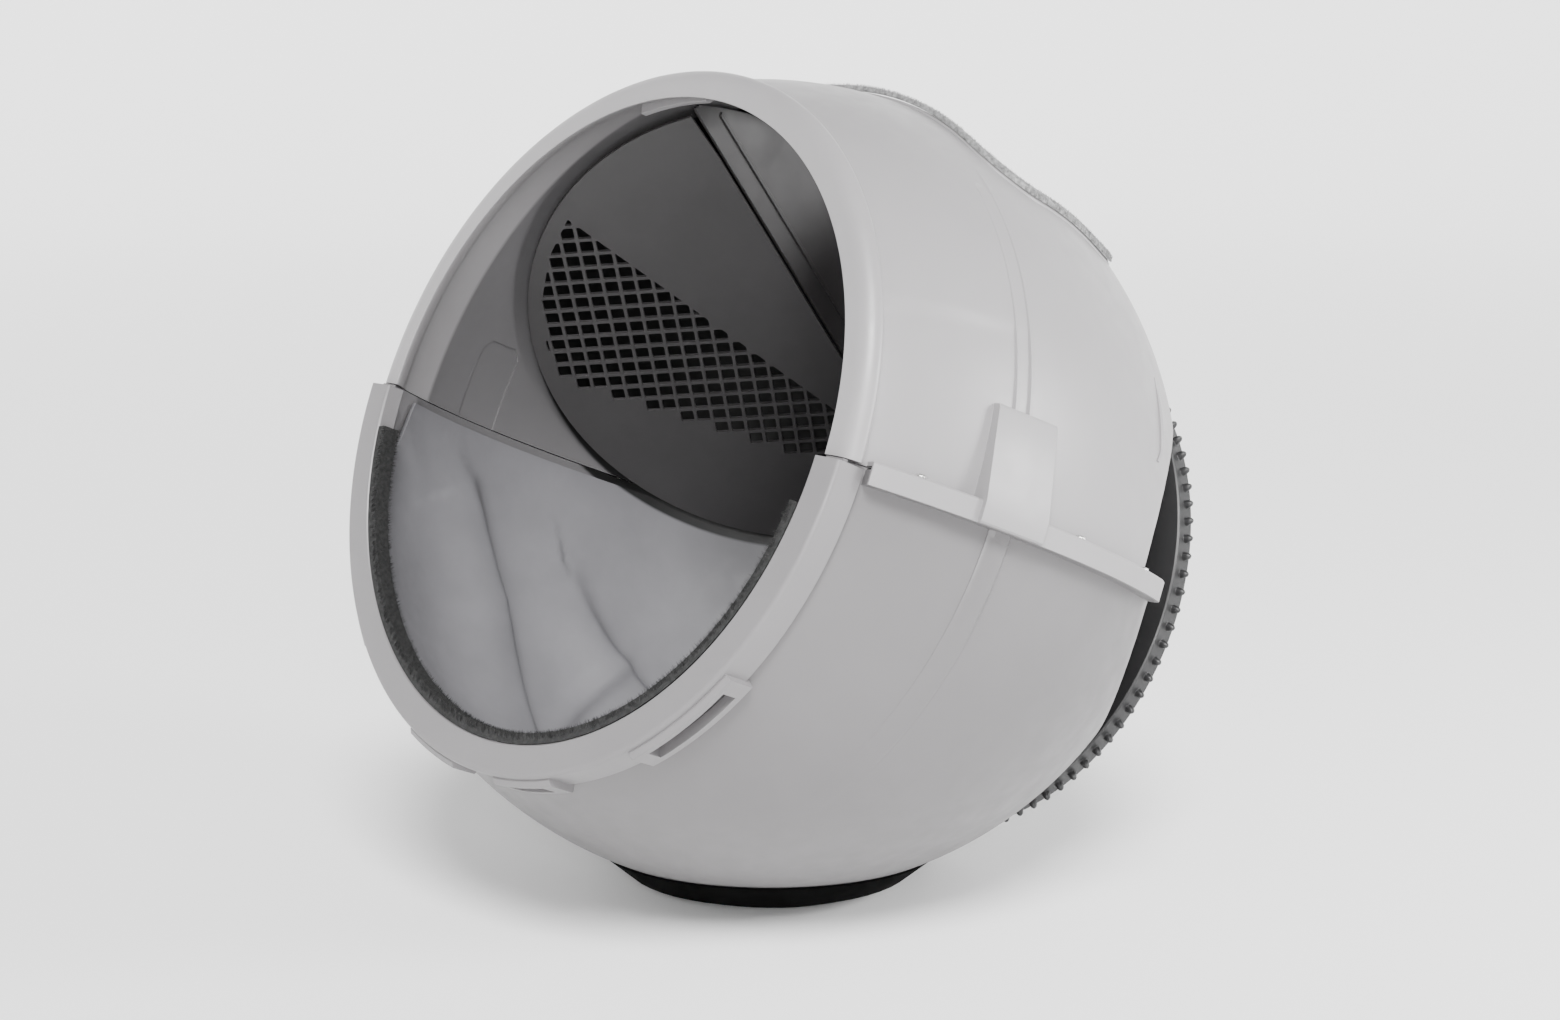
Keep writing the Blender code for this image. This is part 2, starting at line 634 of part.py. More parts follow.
def entry_pile_seal(drum):
    _, _, inner = bezel_radii()
    top = inner - GAP
    profile = ((top - ENTRY_SEAL_DEPTH, BEZEL_FRONT + 0.002), (top, BEZEL_FRONT), (top, -BEZEL_FRONT),
               (top - ENTRY_SEAL_DEPTH, -BEZEL_FRONT - 0.002))
    mesh = arc_solid(profile, -180.0 + ENTRY_SEAL_END_DEG, -ENTRY_SEAL_END_DEG, RING_STEPS)
    make_object("entry_pile_seal", *mesh, "seal_pile", drum)


# ---------------------------------------------------------------- liner
def liner(drum):
    outer_inset = WALL + LINER_GAP
    inner_inset = outer_inset + LINER_WALL
    outer, inner = [], []
    for degrees in spread(-180.0 + LINER_END_DEG, -LINER_END_DEG, LINER_STEPS):
        rows = []
        for inset, back in ((outer_inset, REAR_WALL - outer_inset), (inner_inset, REAR_WALL - inner_inset)):
            row = [skin_point(degrees, y, inset, PAN_FLAT_INSET) for y in body_stations(LINER_FRONT, back, LINER_ROWS)]
            edge = row[-1]
            for share in (0.66, 0.33):
                row.append(Vector((edge.x * share, edge.y, edge.z * share)))
            rows.append(row)
        outer.append(rows[0])
        inner.append(rows[1])
    points, faces = swept_skin(outer, inner)
    sunk = -math.sin(math.radians(LINER_END_DEG)) * BODY_RADIUS / 4
    make_object("liner", [point + Vector((0, 0, sunk)) for point in points], faces, "liner_rubber", drum)


# ---------------------------------------------------------------- divider and screen
def seam_frame():
    """Start of the line where screen and divider meet, its direction, and the screen's fall and normal."""
    ceiling = hood_height(SEPTUM_X, SEAM_START_Y, WALL) - 0.0015
    start = Vector((SEPTUM_X, SEAM_START_Y, ceiling))
    slope = math.radians(SEAM_SLOPE_DEG)
    along = Vector((0, math.cos(slope), -math.sin(slope)))
    down = Vector((0, -math.sin(slope), -math.cos(slope)))
    lean = math.radians(SCREEN_LEAN_DEG)
    fall = down * math.cos(lean) + Vector((-1, 0, 0)) * math.sin(lean)
    return start, along, fall, fall.cross(along).normalized()


def septum(drum):
    """Flat divider from the screen's upper edge to the hood's ceiling."""
    start, along, _, _ = seam_frame()
    back = REAR_WALL - WALL - GAP
    length = (back - start.y) / along.y
    low_back = start + along * length
    side = abs(SEPTUM_X) + SEPTUM_WALL
    rise = Vector((0, 0, SEPTUM_RISE))
    front = start + along * SEPTUM_SETBACK + rise
    outline = [Vector((0, y, hood_height(side, y, WALL + 4 * GAP))) for y in spread(front.y + 0.003, back, 16)]
    outline = [Vector((0, front.y, front.z))] + outline + [Vector((0, low_back.y, low_back.z)) + rise]
    sections = []
    for x in (SEPTUM_X, SEPTUM_X - SEPTUM_WALL):
        sections.append([point + Vector((x, 0, 0)) for point in outline])
    wall = make_object("septum", *swept_solid(sections), "septum_plastic", drum, smooth=False)
    rib_start = start + along * 0.03 + Vector((0, 0, 0.016))
    rib_end = start + along * (length - 0.01) + Vector((0, 0, 0.016))
    rib = []
    for point in (rib_start, rib_end):
        rib.append([point + Vector((out, 0, up)) for out, up in ((-0.001, 0), (0.0015, 0), (0.0015, 0.003), (-0.001, 0.003))])
    boolean(wall, make_object("septum_rib_tool", *swept_solid(rib), "septum_plastic", drum), "UNION")


def inside_drum(point, inset):
    """True where a point lies inside the surface that is inset from the drum's outside."""
    if point.y > REAR_WALL - inset or point.y < 0.0:
        return False
    return math.hypot(point.x, point.z) < body_radius(point.y, inset)


def screen_point(along_seam, below_seam, above=0.0):
    start, along, fall, normal = seam_frame()
    return start + along * along_seam + fall * below_seam + normal * above


def screen_outline(inset):
    """Edge of the flat screen as (along, below) pairs: the seam line, then round the drum's wall."""
    centre = (0.190, 0.070)
    outline = []
    for step in range(SCREEN_EDGE_STEPS):
        angle = 2 * math.pi * step / SCREEN_EDGE_STEPS
        across, down = math.cos(angle), math.sin(angle)
        low, high = 0.0, 0.40
        for _ in range(24):
            middle = (low + high) / 2
            place = (centre[0] + across * middle, centre[1] + down * middle)
            clear = place[1] > SCREEN_TOP_GAP + inset - SCREEN_EDGE_GAP
            clear = clear and inside_drum(screen_point(*place), inset)
            clear = clear and inside_drum(screen_point(*place, -SCREEN_WALL), inset)
            if clear:
                low = middle
            else:
                high = middle
        outline.append((centre[0] + across * low, centre[1] + down * low))
    return outline


def clipped(polygon, line_start, line_end):
    """The part of a polygon to the left of a directed line."""
    def side(point):
        return ((line_end[0] - line_start[0]) * (point[1] - line_start[1])
                - (line_end[1] - line_start[1]) * (point[0] - line_start[0]))
    kept = []
    for index, here in enumerate(polygon):
        there = polygon[(index + 1) % len(polygon)]
        here_side, there_side = side(here), side(there)
        if here_side >= 0:
            kept.append(here)
        if here_side * there_side < 0:
            share = here_side / (here_side - there_side)
            kept.append((here[0] + (there[0] - here[0]) * share, here[1] + (there[1] - here[1]) * share))
    return kept


def area(polygon):
    total = 0.0
    for index, here in enumerate(polygon):
        there = polygon[(index + 1) % len(polygon)]
        total += here[0] * there[1] - there[0] * here[1]
    return total / 2


def screen_holes():
    """Square holes on a turned lattice, cut straight along the top edge and round the screen's edge."""
    turn = math.radians(LATTICE_TURN_DEG)
    row = (math.cos(turn), math.sin(turn))
    column = (math.sin(turn), -math.cos(turn))
    half = HOLE_SIDE / 2
    square = ((half, -half), (half, half), (-half, half), (-half, -half))
    border = screen_outline(SCREEN_EDGE_GAP + HOLE_MARGIN)[::3]
    holes = []
    for across in range(-6, 22):
        for down in range(-20, across // 2 + 1):
            place = [MESH_FIRST_HOLE[axis] + LATTICE_PITCH * (across * column[axis] + down * row[axis])
                     for axis in (0, 1)]
            hole = [(place[0] + a * column[0] + b * row[0], place[1] + a * column[1] + b * row[1]) for a, b in square]
            hole = clipped(hole, *MESH_TOP)
            for index, start in enumerate(border):
                hole = clipped(hole, start, border[(index + 1) % len(border)])
            if len(hole) > 2 and abs(area(hole)) > SMALLEST_HOLE:
                holes.append(hole)
    return holes


def sifting_screen(drum):
    work = bmesh.new()
    for loop in [screen_outline(SCREEN_EDGE_GAP)] + screen_holes():
        corners = [work.verts.new(screen_point(a, b)) for a, b in loop]
        for index, corner in enumerate(corners):
            work.edges.new((corner, corners[(index + 1) % len(corners)]))
    bmesh.ops.triangle_fill(work, edges=work.edges[:], use_beauty=True)
    _, _, _, normal = seam_frame()
    made = bmesh.ops.extrude_face_region(work, geom=work.faces[:])
    moved = [item for item in made["geom"] if isinstance(item, bmesh.types.BMVert)]
    bmesh.ops.translate(work, verts=moved, vec=normal * -SCREEN_WALL)
    mesh_points = [vert.co.copy() for vert in work.verts]
    work.verts.index_update()
    mesh_faces = [tuple(vert.index for vert in face.verts) for face in work.faces]
    work.free()
    make_object("sifting_screen", mesh_points, mesh_faces, "screen_plastic", drum, smooth=False)


def wall_distance(place, inset):
    """Distance from the screen's back to the surface inset from the drum's outside."""
    low, high = 0.0, 0.2
    for _ in range(24):
        middle = (low + high) / 2
        if inside_drum(screen_point(*place, -SCREEN_WALL - middle), inset):
            low = middle
        else:
            high = middle
    return low


def screen_standoffs(drum):
    """Pillars behind the screen that hold it off the hood's wall, each with its screw in the screen's face."""
    _, _, _, normal = seam_frame()
    for number, (along, below) in enumerate(STANDOFFS, 1):
        reach = []
        for step in range(8):
            angle = math.pi / 4 * step
            place = (along + STANDOFF_RADIUS * math.cos(angle), below + STANDOFF_RADIUS * math.sin(angle))
            reach.append(wall_distance(place, WALL + 4 * GAP))
        start = screen_point(along, below, -SCREEN_WALL - GAP)
        end = screen_point(along, below, -SCREEN_WALL - min(reach))
        make_object(f"screen_standoff_{number}", *cylinder(start, end, STANDOFF_RADIUS), "screen_plastic", drum)


def screen_tab(drum):
    """Small curved lip under the top of the hood's rim."""
    outer = body_radius(TAB_BACK, WALL) - TAB_GAP
    front_outer = body_radius(TAB_FRONT, WALL) - TAB_GAP
    profile = ((front_outer, TAB_FRONT), (outer, TAB_BACK), (outer - TAB_WALL, TAB_BACK + 0.001),
               (front_outer - TAB_WALL * 2.6, TAB_FRONT + 0.004), (front_outer - TAB_WALL * 2.6, TAB_FRONT))
    points, faces = arc_solid(profile, TAB_DEG[0], TAB_DEG[1], 8)
    points = [point + Vector((0, 0, SEAM_GAP / 2)) for point in points]
    make_object("screen_tab", points, faces, "hood_plastic", drum)


# ---------------------------------------------------------------- rear drive pieces
def gear_radius():
    return body_radius(REAR_WALL) + GEAR_OVERHANG


def rear_place(degrees, circle, y):
    angle = math.radians(degrees)
    return Vector((circle * math.cos(angle), y, circle * math.sin(angle)))


def ring_gear(drum):
    outer = gear_radius()
    front = REAR_WALL + GAP
    web_back = front + GEAR_WEB
    back = front + GEAR_WIDTH
    profile = (
        (GEAR_WEB_INNER, front), (outer - 0.001, front), (outer, front + 0.001), (outer, back - 0.001),
        (outer - 0.001, back), (outer - GEAR_RIM_WALL, back), (outer - GEAR_RIM_WALL, web_back),
        (GEAR_WEB_INNER, web_back),
    )
    sections = []
    for step in range(RING_STEPS):
        angle = 2 * math.pi * step / RING_STEPS
        sections.append([Vector((r * math.cos(angle), y, r * math.sin(angle))) for r, y in profile])
    gear = make_object("ring_gear", *swept_solid(sections, closed=True), "gear_plastic", drum)
    teeth = []
    station = front + TOOTH_STATION
    for step in range(GEAR_TEETH):
        degrees = 360.0 * step / GEAR_TEETH
        teeth.append(cylinder(rear_place(degrees, outer - 0.002, station),
                              rear_place(degrees, outer + TOOTH_LENGTH, station),
                              TOOTH_RADIUS, TOOTH_TIP_RADIUS, sides=6))
    boolean(gear, make_object("teeth_tool", *merged(teeth), "gear_plastic", drum), "UNION")
    boolean(gear, rear_hole_cutter(drum), "DIFFERENCE")


def rear_hole_cutter(drum):
    """Screw holes of gear, hub and magnets through web and rear wall; pan, gear and hub share it."""
    existing = bpy.data.objects.get("rear_hole_tool")
    if existing:
        return existing
    radius = SCREW_RADIUS + SCREW_CLEARANCE
    holes = []
    for _, head in rear_screw_places():
        holes.append(cylinder(head + Vector((0, 0.002, 0)), head - Vector((0, SCREW_LENGTH + 0.004, 0)), radius))
    return make_object("rear_hole_tool", *merged(holes), "gear_plastic", drum)


def rear_screw_places():
    places = []
    web_back = REAR_WALL + 2 * GAP + GEAR_WEB
    for number, degrees in enumerate(GEAR_SCREWS_DEG, 1):
        places.append((f"gear_screw_{number}", rear_place(degrees, GEAR_SCREW_CIRCLE, web_back)))
    flange_back = REAR_WALL + 2 * GAP + HUB_FLANGE_WALL
    for number, degrees in enumerate(HUB_SCREWS_DEG, 1):
        places.append((f"hub_screw_{number}", rear_place(degrees, HUB_SCREW_CIRCLE, flange_back)))
    return places


def rear_screws(drum):
    reach = WALL + 2 * GAP + max(GEAR_WEB, HUB_FLANGE_WALL) - GAP
    for name, head in rear_screw_places():
        mesh = screw_mesh(head, Vector((0, 1, 0)), SCREW_RADIUS, SCREW_HEAD_RADIUS, SCREW_HEAD_HEIGHT, reach)
        make_object(name, *mesh, "screw_steel", drum)


def rear_hub(drum):
    front = REAR_WALL + GAP
    profile = (
        (HUB_FLANGE_RADIUS, 0.0), (HUB_FLANGE_RADIUS, HUB_FLANGE_WALL), (HUB_STUB_RADIUS + 0.002, HUB_FLANGE_WALL),
        (HUB_STUB_RADIUS, HUB_FLANGE_WALL + 0.002), (HUB_STUB_RADIUS, HUB_STUB_LENGTH - 0.001),
        (HUB_STUB_RADIUS - 0.001, HUB_STUB_LENGTH),
    )
    sections = []
    for radius, along in profile:
        sections.append([rear_place(360.0 * side / 32, radius, front + along) for side in range(32)])
    hub = make_object("rear_hub", *swept_solid(sections), "gear_plastic", drum)
    boolean(hub, rear_hole_cutter(drum), "DIFFERENCE")


def magnets(drum):
    web_back = REAR_WALL + 2 * GAP + GEAR_WEB
    for word, degrees in zip(("home", "dump"), MAGNETS_DEG):
        start = rear_place(degrees, MAGNET_CIRCLE, web_back)
        end = rear_place(degrees, MAGNET_CIRCLE, web_back + MAGNET_HEIGHT)
        mesh = cylinder(start, end, MAGNET_RADIUS, MAGNET_RADIUS - 0.0008)
        make_object(word + "_position_magnet", *mesh, "magnet_cap", drum)


# ---------------------------------------------------------------- foot, in the world frame
def drum_matrix():
    """Places the drum frame in the world, with its lowest point above the foot's underside."""
    tilt = math.radians(DRUM_TILT)
    across, along = BODY_RADIUS ** 2 * math.cos(tilt), BODY_HALF_LENGTH ** 2 * math.sin(tilt)
    size = math.sqrt(across * math.cos(tilt) + along * math.sin(tilt))
    lowest = Vector((0, BODY_CENTRE + along / size, -across / size - SEAM_GAP / 2))
    turn = Matrix.Rotation(-tilt, 4, "X")
    return Matrix.Translation(Vector((0, 0, FOOT_DROP)) - turn @ lowest) @ turn


def drum_underside(x, y):
    """Height of the drum's outside above the foot's underside at a world place."""
    place = drum_matrix()
    back = place.inverted()
    low, high = 0.0, BODY_RADIUS
    for _ in range(30):
        middle = (low + high) / 2
        point = back @ Vector((x, y, middle))
        point.z += SEAM_GAP / 2
        if math.hypot(point.x, point.z) < body_radius(point.y):
            high = middle
        else:
            low = middle
    return low


def foot_point(radius, degrees, height):
    angle = math.radians(degrees)
    shift = FOOT_RIM_SHIFT * max(0.0, radius - FOOT_FLAT_RADIUS) / (FOOT_RADIUS - FOOT_FLAT_RADIUS)
    return Vector((radius * math.cos(angle), radius * math.sin(angle) - shift, height))


def foot_top(radius, degrees):
    place = foot_point(radius, degrees, 0)
    return foot_point(radius, degrees, drum_underside(place.x, place.y) - 2 * GAP)


def foot_dish():
    """Round foot: flat in the middle, curving up to a thin rim, with its top following the drum."""
    turn = spread(0.0, 360.0, RING_STEPS)[:-1]
    rings = [[foot_point(FOOT_FLAT_RADIUS, degrees, 0) for degrees in turn]]
    for radius, height in FOOT_SIDE:
        rings.append([foot_point(radius, degrees, height) for degrees in turn])
    rim = [foot_top(FOOT_RADIUS, degrees) for degrees in turn]
    rings.append([point - Vector((0, 0, FOOT_EDGE)) for point in rim])
    rings.append(rim)
    for radius in FOOT_TOP_RADII:
        rings.append([foot_top(radius, degrees) for degrees in turn])
    foot = make_object("foot_dish", *swept_solid(rings), "foot_plastic", None)
    boolean(foot, foot_hole_cutter(), "DIFFERENCE")


def foot_screw_places():
    places = []
    for number, degrees in enumerate(FOOT_SCREWS_DEG, 1):
        places.append((f"foot_screw_{number}", foot_point(FOOT_SCREW_CIRCLE, degrees, 0)))
    return places


def foot_screw_top(place):
    """Height at which a foot screw's shank ends, inside the pan's wall."""
    return drum_underside(place.x, place.y) + WALL * 0.35


def foot_hole_cutter():
    """Screw holes and head recesses, up through foot and pan wall; foot and pan share it."""
    existing = bpy.data.objects.get("foot_hole_tool")
    if existing:
        return existing
    holes = []
    for _, place in foot_screw_places():
        recess = SCREW_HEAD_RADIUS + HEAD_RECESS_MARGIN
        shank = SCREW_RADIUS + SCREW_CLEARANCE
        below = place - Vector((0, 0, FOOT_SCREW_HEAD_DEPTH))
        head = place + Vector((0, 0, FOOT_SCREW_HEAD_DEPTH))
        above = place + Vector((0, 0, foot_screw_top(place) + WALL * 1.5))
        stepped = []
        profile = ((recess, below), (recess, head), (shank, head), (shank, above))
        for radius, centre in profile:
            ring = []
            for side in range(CYLINDER_SIDES):
                angle = 2 * math.pi * side / CYLINDER_SIDES
                ring.append(centre + Vector((radius * math.cos(angle), radius * math.sin(angle), 0)))
            stepped.append(ring)
        holes.append(swept_solid(stepped))
    return make_object("foot_hole_tool", *merged(holes), "foot_plastic", None)


def foot_screws():
    for name, place in foot_screw_places():
        head = place + Vector((0, 0, FOOT_SCREW_HEAD_DEPTH - GAP))
        length = foot_screw_top(place) - head.z
        mesh = screw_mesh(head, Vector((0, 0, -1)), SCREW_RADIUS, SCREW_HEAD_RADIUS, SCREW_HEAD_HEIGHT, length)
        make_object(name, *mesh, "screw_steel", None)


def main():
    clear_scene()
    drum = bpy.data.objects.new("drum_frame", None)
    bpy.context.scene.collection.objects.link(drum)
    drum.matrix_world = drum_matrix()
    upper_shell(drum)
    lower_shell(drum)
    flange_screws(drum)
    seam_gaskets(drum)
    waste_port(drum)
    entry_bezel(drum)
    entry_pile_seal(drum)
    liner(drum)
    septum(drum)
    sifting_screen(drum)
    screen_standoffs(drum)
    screen_tab(drum)
    ring_gear(drum)
    rear_hub(drum)
    rear_screws(drum)
    magnets(drum)
    foot_dish()
    foot_screws()


main()
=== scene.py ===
"""Looks of the litter drum: fine shells, seals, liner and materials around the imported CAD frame."""

import json
import math
import random

import bmesh
import bpy
from mathutils import Matrix, Vector, noise


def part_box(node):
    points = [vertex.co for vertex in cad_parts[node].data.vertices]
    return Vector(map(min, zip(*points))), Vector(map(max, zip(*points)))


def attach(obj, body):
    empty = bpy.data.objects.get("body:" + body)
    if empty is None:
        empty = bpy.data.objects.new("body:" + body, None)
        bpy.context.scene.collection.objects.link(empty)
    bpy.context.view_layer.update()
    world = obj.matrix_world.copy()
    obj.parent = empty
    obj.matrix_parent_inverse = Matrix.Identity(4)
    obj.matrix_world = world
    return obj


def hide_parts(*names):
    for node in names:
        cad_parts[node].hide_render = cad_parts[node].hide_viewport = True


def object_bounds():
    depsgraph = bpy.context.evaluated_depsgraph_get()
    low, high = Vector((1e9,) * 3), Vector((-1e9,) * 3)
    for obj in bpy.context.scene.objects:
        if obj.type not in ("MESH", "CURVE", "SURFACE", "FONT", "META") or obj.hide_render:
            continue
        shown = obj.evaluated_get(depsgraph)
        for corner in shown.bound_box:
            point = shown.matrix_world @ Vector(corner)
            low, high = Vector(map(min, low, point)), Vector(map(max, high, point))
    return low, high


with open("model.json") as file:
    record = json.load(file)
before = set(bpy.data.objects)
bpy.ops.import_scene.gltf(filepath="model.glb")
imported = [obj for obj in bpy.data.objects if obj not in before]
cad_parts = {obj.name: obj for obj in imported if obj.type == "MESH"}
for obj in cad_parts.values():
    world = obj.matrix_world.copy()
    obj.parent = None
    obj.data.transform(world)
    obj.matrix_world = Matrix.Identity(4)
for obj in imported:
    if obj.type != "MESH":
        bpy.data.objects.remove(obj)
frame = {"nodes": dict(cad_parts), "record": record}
cad_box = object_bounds()

# ---- sizes in metres and degrees, in the drum's frame: x across, y back from the front rim, z off the seam
# The drum: a barrel round the y axis, cut off at the rear wall, with a flat at its right rear.
BODY_RADIUS = 0.2505
BODY_HALF_LENGTH = 0.261
BODY_CENTRE = 0.150
REAR_WALL = 0.342
WALL = 0.003
DRUM_TILT = 22.5
GAP = 0.0003
SEAM_GAP = 0.0006
HOOD_FLAT_INSET = 0.0342
PAN_FLAT_INSET = 0.0212
# Rounded bead at the hood's front: its height at the start and end, and the shape between them.
BEAD_HEIGHT = 0.010
BEAD_WIDTH = 0.012
BEAD_START = 0.0022
BEAD_END = 0.0020
BEAD_SHOULDER = 0.25
BEAD_FULLNESS = 0.8
BEAD_LINING = 0.0008  # how far the bead's inside lies below the hood's inner skin
BEAD_HOLLOW = 0.0016
BEAD_STEPS = 12
# Seam rails on both sides, with the hood's skirt over the pan's rail.
RAIL_FRONT = 0.0185
RAIL_BACK = 0.262
RAIL_REACH = 0.011
RAIL_TOP = 0.003
RAIL_DROP = 0.010
RAIL_STEPS = 60
RAIL_END_ROUND = 0.010  # length over which a rail's rear end is rounded off
RAIL_END_LEAST = 0.05
SKIRT = 0.0025
RAIL_FIT = 0.0004
RAIL_CLEARANCE = 0.0012  # between the pan's rail and the hood's, over the gasket
# Side bosses, the pan's rib below the right one, and the hood's ridges above it.
BOSS = (0.079, 0.121)
BOSS_HEIGHT = 0.058
BOSS_REACH = 0.0145
BOSS_TOP_REACH = 0.0065
BOSS_LEAN = 0.0004
RIB = (0.094, 0.110)
RIB_END_DEG = 53.0
RIB_REACH = 0.0032
RIB_START_DEG = -2.0
RIDGE_STATIONS = (0.094, 0.104)
RIDGE_WIDTH = 0.0022
RIDGE_DEG = (13.0, 59.0)
RIDGE_REACH = 0.0021
STRIP_ROUND = 0.18  # a strip's shoulder, as a share of its width
STRIP_EDGE = 0.2  # and the height of its edge, as a share of the whole
SUNK_END = 0.0001  # a strip's end lies this far under the skin
# Waste opening, the collar in it and the pile strip on the collar.
PORT_X = (-0.066, 0.157)
PORT_Y = (0.115, 0.250)
PORT_CORNER = 0.040
PORT_CUT_START = 0.04
PORT_CUT_MARGIN = 0.05
PORT_FIT = 0.0008
PORT_PATH_STEP = 0.004
COLLAR_WIDTH = 0.0035
COLLAR_STAND = 0.0015
COLLAR_DEPTH = WALL * 1.6
RING_EDGE = 0.0006  # rounded upper edges of the collar and of the strip's core
RING_ROUND = 0.2
PORT_SEAL_WIDTH = 0.0025
PORT_SEAL_HEIGHT = 0.0050
PORT_CORE_DEPTH = 0.0014  # the seal's core ends this far below its fibres
PORT_TUFTS = 3600  # fibres: how many, and how they spread, stand, bend and taper
PORT_TUFT_SPREAD = 0.0018
PORT_TUFT_ROOT = 0.001
PORT_TUFT_SHORT = 0.0012
PORT_TUFT_BEND = 0.0005
PORT_TUFT_WIDTH = 0.00035
# Entry bezel, with a snap window in each strap. STRAPS rows are (middle, half width) in degrees.
BEZEL_OUTER = 0.014
BEZEL_FRONT = -0.006
BEZEL_BACK = 0.014
BEZEL_WALL = 0.0027
BEZEL_INNER = 0.0058
BEZEL_LIP_SHARE = 0.7
BEZEL_ROUND = 0.003
BEZEL_ROUND_STEPS = 6
BEZEL_DEG = (-179.4, -0.6)
STRAPS = ((-46.5, 10.5), (-80.5, 6.5), (-104.0, 6.5), (-137.0, 5.0))
STRAP_REACH = 0.0042
STRAP_BACK = 0.0175
STRAP_START = 0.004  # where a strap begins, behind the bezel's front face
STRAP_FOOT = (0.0002, 0.0012)  # its first step forwards and outwards, then the slope up to its top
STRAP_SLOPE = 0.002
STRAP_ROOT_SHARE = 0.3
WINDOW_MARGIN_DEG = 2.6
WINDOW = (0.0030, 0.0125)
WINDOW_CUT = (0.002, 0.010)  # how far the window's cutter reaches inside the skirt and outside the bezel
# The pan's catches, one in each window, and its front lip.
CATCH_FRONT = 0.0015
CATCH_BACK = 0.0098
CATCH_LEAD = 0.0008
CATCH_FIT = 0.0006
CATCH_SIDE_DEG = 0.8
PAN_LIP_BACK = 0.0035
PAN_RIM = (  # (y, height off the skin) over the pan's front lip
    (0.0005, 0.008), (0.0008, 0.0097), (PAN_LIP_BACK, 0.0085), (PAN_LIP_BACK + 0.0005, 0.0008),
)
# The entry's pile strip: a core, and fibres that fan out from it.
SEAL_DEG = (-171.5, -8.5)
SEAL_CORE_DEPTH = 0.0066
SEAL_CORE_HALF = (0.0050, 0.0058)  # half the core's width at its inside and at the lip
SEAL_TUFTS = 11000
SEAL_ROOT_SPREAD = 0.0056
SEAL_ROOT_DEPTH = 0.0012
SEAL_ROOT_SHARE = 0.9
SEAL_LENGTH = (0.0074, 0.0013)  # shortest fibre, and how much longer one may be
SEAL_REACH = 0.0076  # most that a tip may lie in front of or behind the strip's middle
SEAL_FAN = 1.25
SEAL_BEND = 0.0006
SEAL_BEND_DEG = 0.25
SEAL_TUFT_WIDTH = 0.00036
# Ring gear on the rear wall, and the hub's seat.
GEAR_OVERHANG = 0.0052
GEAR_RIM_WALL = 0.0065
GEAR_WIDTH = 0.014
GEAR_WEB = 0.004
GEAR_WEB_INNER = 0.112
GEAR_STEPS = 288
GEAR_TEETH = 96
TOOTH_STATION = 0.008
# Rows of (radius, height) of a peg tooth, from its root to its tip.
TOOTH = ((0.0030, -0.001), (0.0027, 0.0008), (0.0024, 0.0025), (0.0018, 0.0041), (0.0009, 0.0050))
TOOTH_SIDES = 14
HUB_BOSS_RADIUS = 0.046
PAN_HUB_SHARE = 0.4
DISC_STEPS = 120
FOOT_DROP = 0.0016
BREAK = 0.001  # small bevels along moulded edges
# Soft styling line along the hood: where it runs, how far the skin steps out above it, and how it fades.
CREASE_DEG = 25.0
CREASE_STEP = 0.0030
CREASE_LENGTH = 0.13
CREASE_WIDTH_DEG = 2.5
CREASE_TOP_DEG = 75.0
CREASE_FADE_DEG = 45.0
# Thin raised hook at the hood's right rear.
HOOK_Y = 0.2430
HOOK_DEG = (17.0, 31.0)
HOOK_CURL = 0.006
HOOK_CURL_SHARE = 0.22
HOOK_HALF_WIDTH = 0.0011
HOOK_WIDER = 0.0004
HOOK_REACH = 0.0022
HOOK_TAPER = 0.1
HOOK_LEAST = 0.05
# Shallow pocket inside the hood, behind the left boss.
RECESS_DEPTH = 0.0009
RECESS_MARGIN = 0.003
RECESS_START_DEG = 180.5
RECESS_CUT = 0.010
RECESS_CORNER = 0.006  # its upper corners are cut off between these two angles
RECESS_CORNER_DEG = (166.8, 168.2)
RECESS_CORNER_SPAN = 1.4
# Liner in the pan. Its own relief is in FOLDS, further down.
LINER_GAP = 0.0024
LINER_WALL = 0.003
LINER_FRONT = 0.0085
LINER_DROP = 0.0012
LINER_END_DEG = 1.1
LINER_SETBACK = 0.020  # the liner starts further back near the seam on the left
LINER_SETBACK_DEG = 18.0
# Painted shade and painted shadow on the inner walls and the liner.
HOOD_SHADE_DEPTH = 0.046  # depth behind the hood's rim where painted shade on its inner wall begins
PAN_SHADE_DEPTH = 0.034  # and the same inside the pan's
# painted shade: grey that darkens the inner walls past their lips
INNER_PAINTED_SHADE = (0.115, 0.112, 0.115)
TUCK_SHADOW_WIDTH = 0.0045  # painted shadow band on the liner and the pan's inner wall in front of the screen
TUCK_SHADOW_BLUR = 0.0008
CHAMBER_SHADOW_TILT = 0.10  # how much further back the painted black shadow starts, per metre of height
CHAMBER_SHADOW_BLUR = 0.0006
SHADE_EDGE_BLUR = 0.002
# painted shadow: black for the shaded chamber behind the screen and the shaded gap in front of it
PAINTED_SHADOW_BLACK = (0.003, 0.003, 0.003)
# Sifting screen, and the divider that it meets.
SEPTUM_X = -0.0765
SEAM_START_Y = 0.063
SEAM_SLOPE_DEG = 29.3
SCREEN_LEAN_DEG = 54.1
SCREEN_THICKNESS = 0.0025
HOLE_CORNER = 0.0012
CORNER_SHARE = 0.45  # most of a hole's side that a rounded corner may take
SIDE_WALL = 0.5  # how far a side wall may face forwards, and how squarely a front face does
FRONT_FACE = 0.9
SHORT_EDGE = 0.0002
BEND_DEG = 8.0
# Fineness of the shells, round the drum and from front to back, and rings down their rear walls.
SHELL_STEPS = 240
SHELL_ROWS = 60
SHELL_START = 0.004
SHELL_REAR_SHARES = (0.99, 0.85, 0.6)
LINER_REAR_SHARES = (0.8, 0.6, 0.4, 0.2, 0.02)
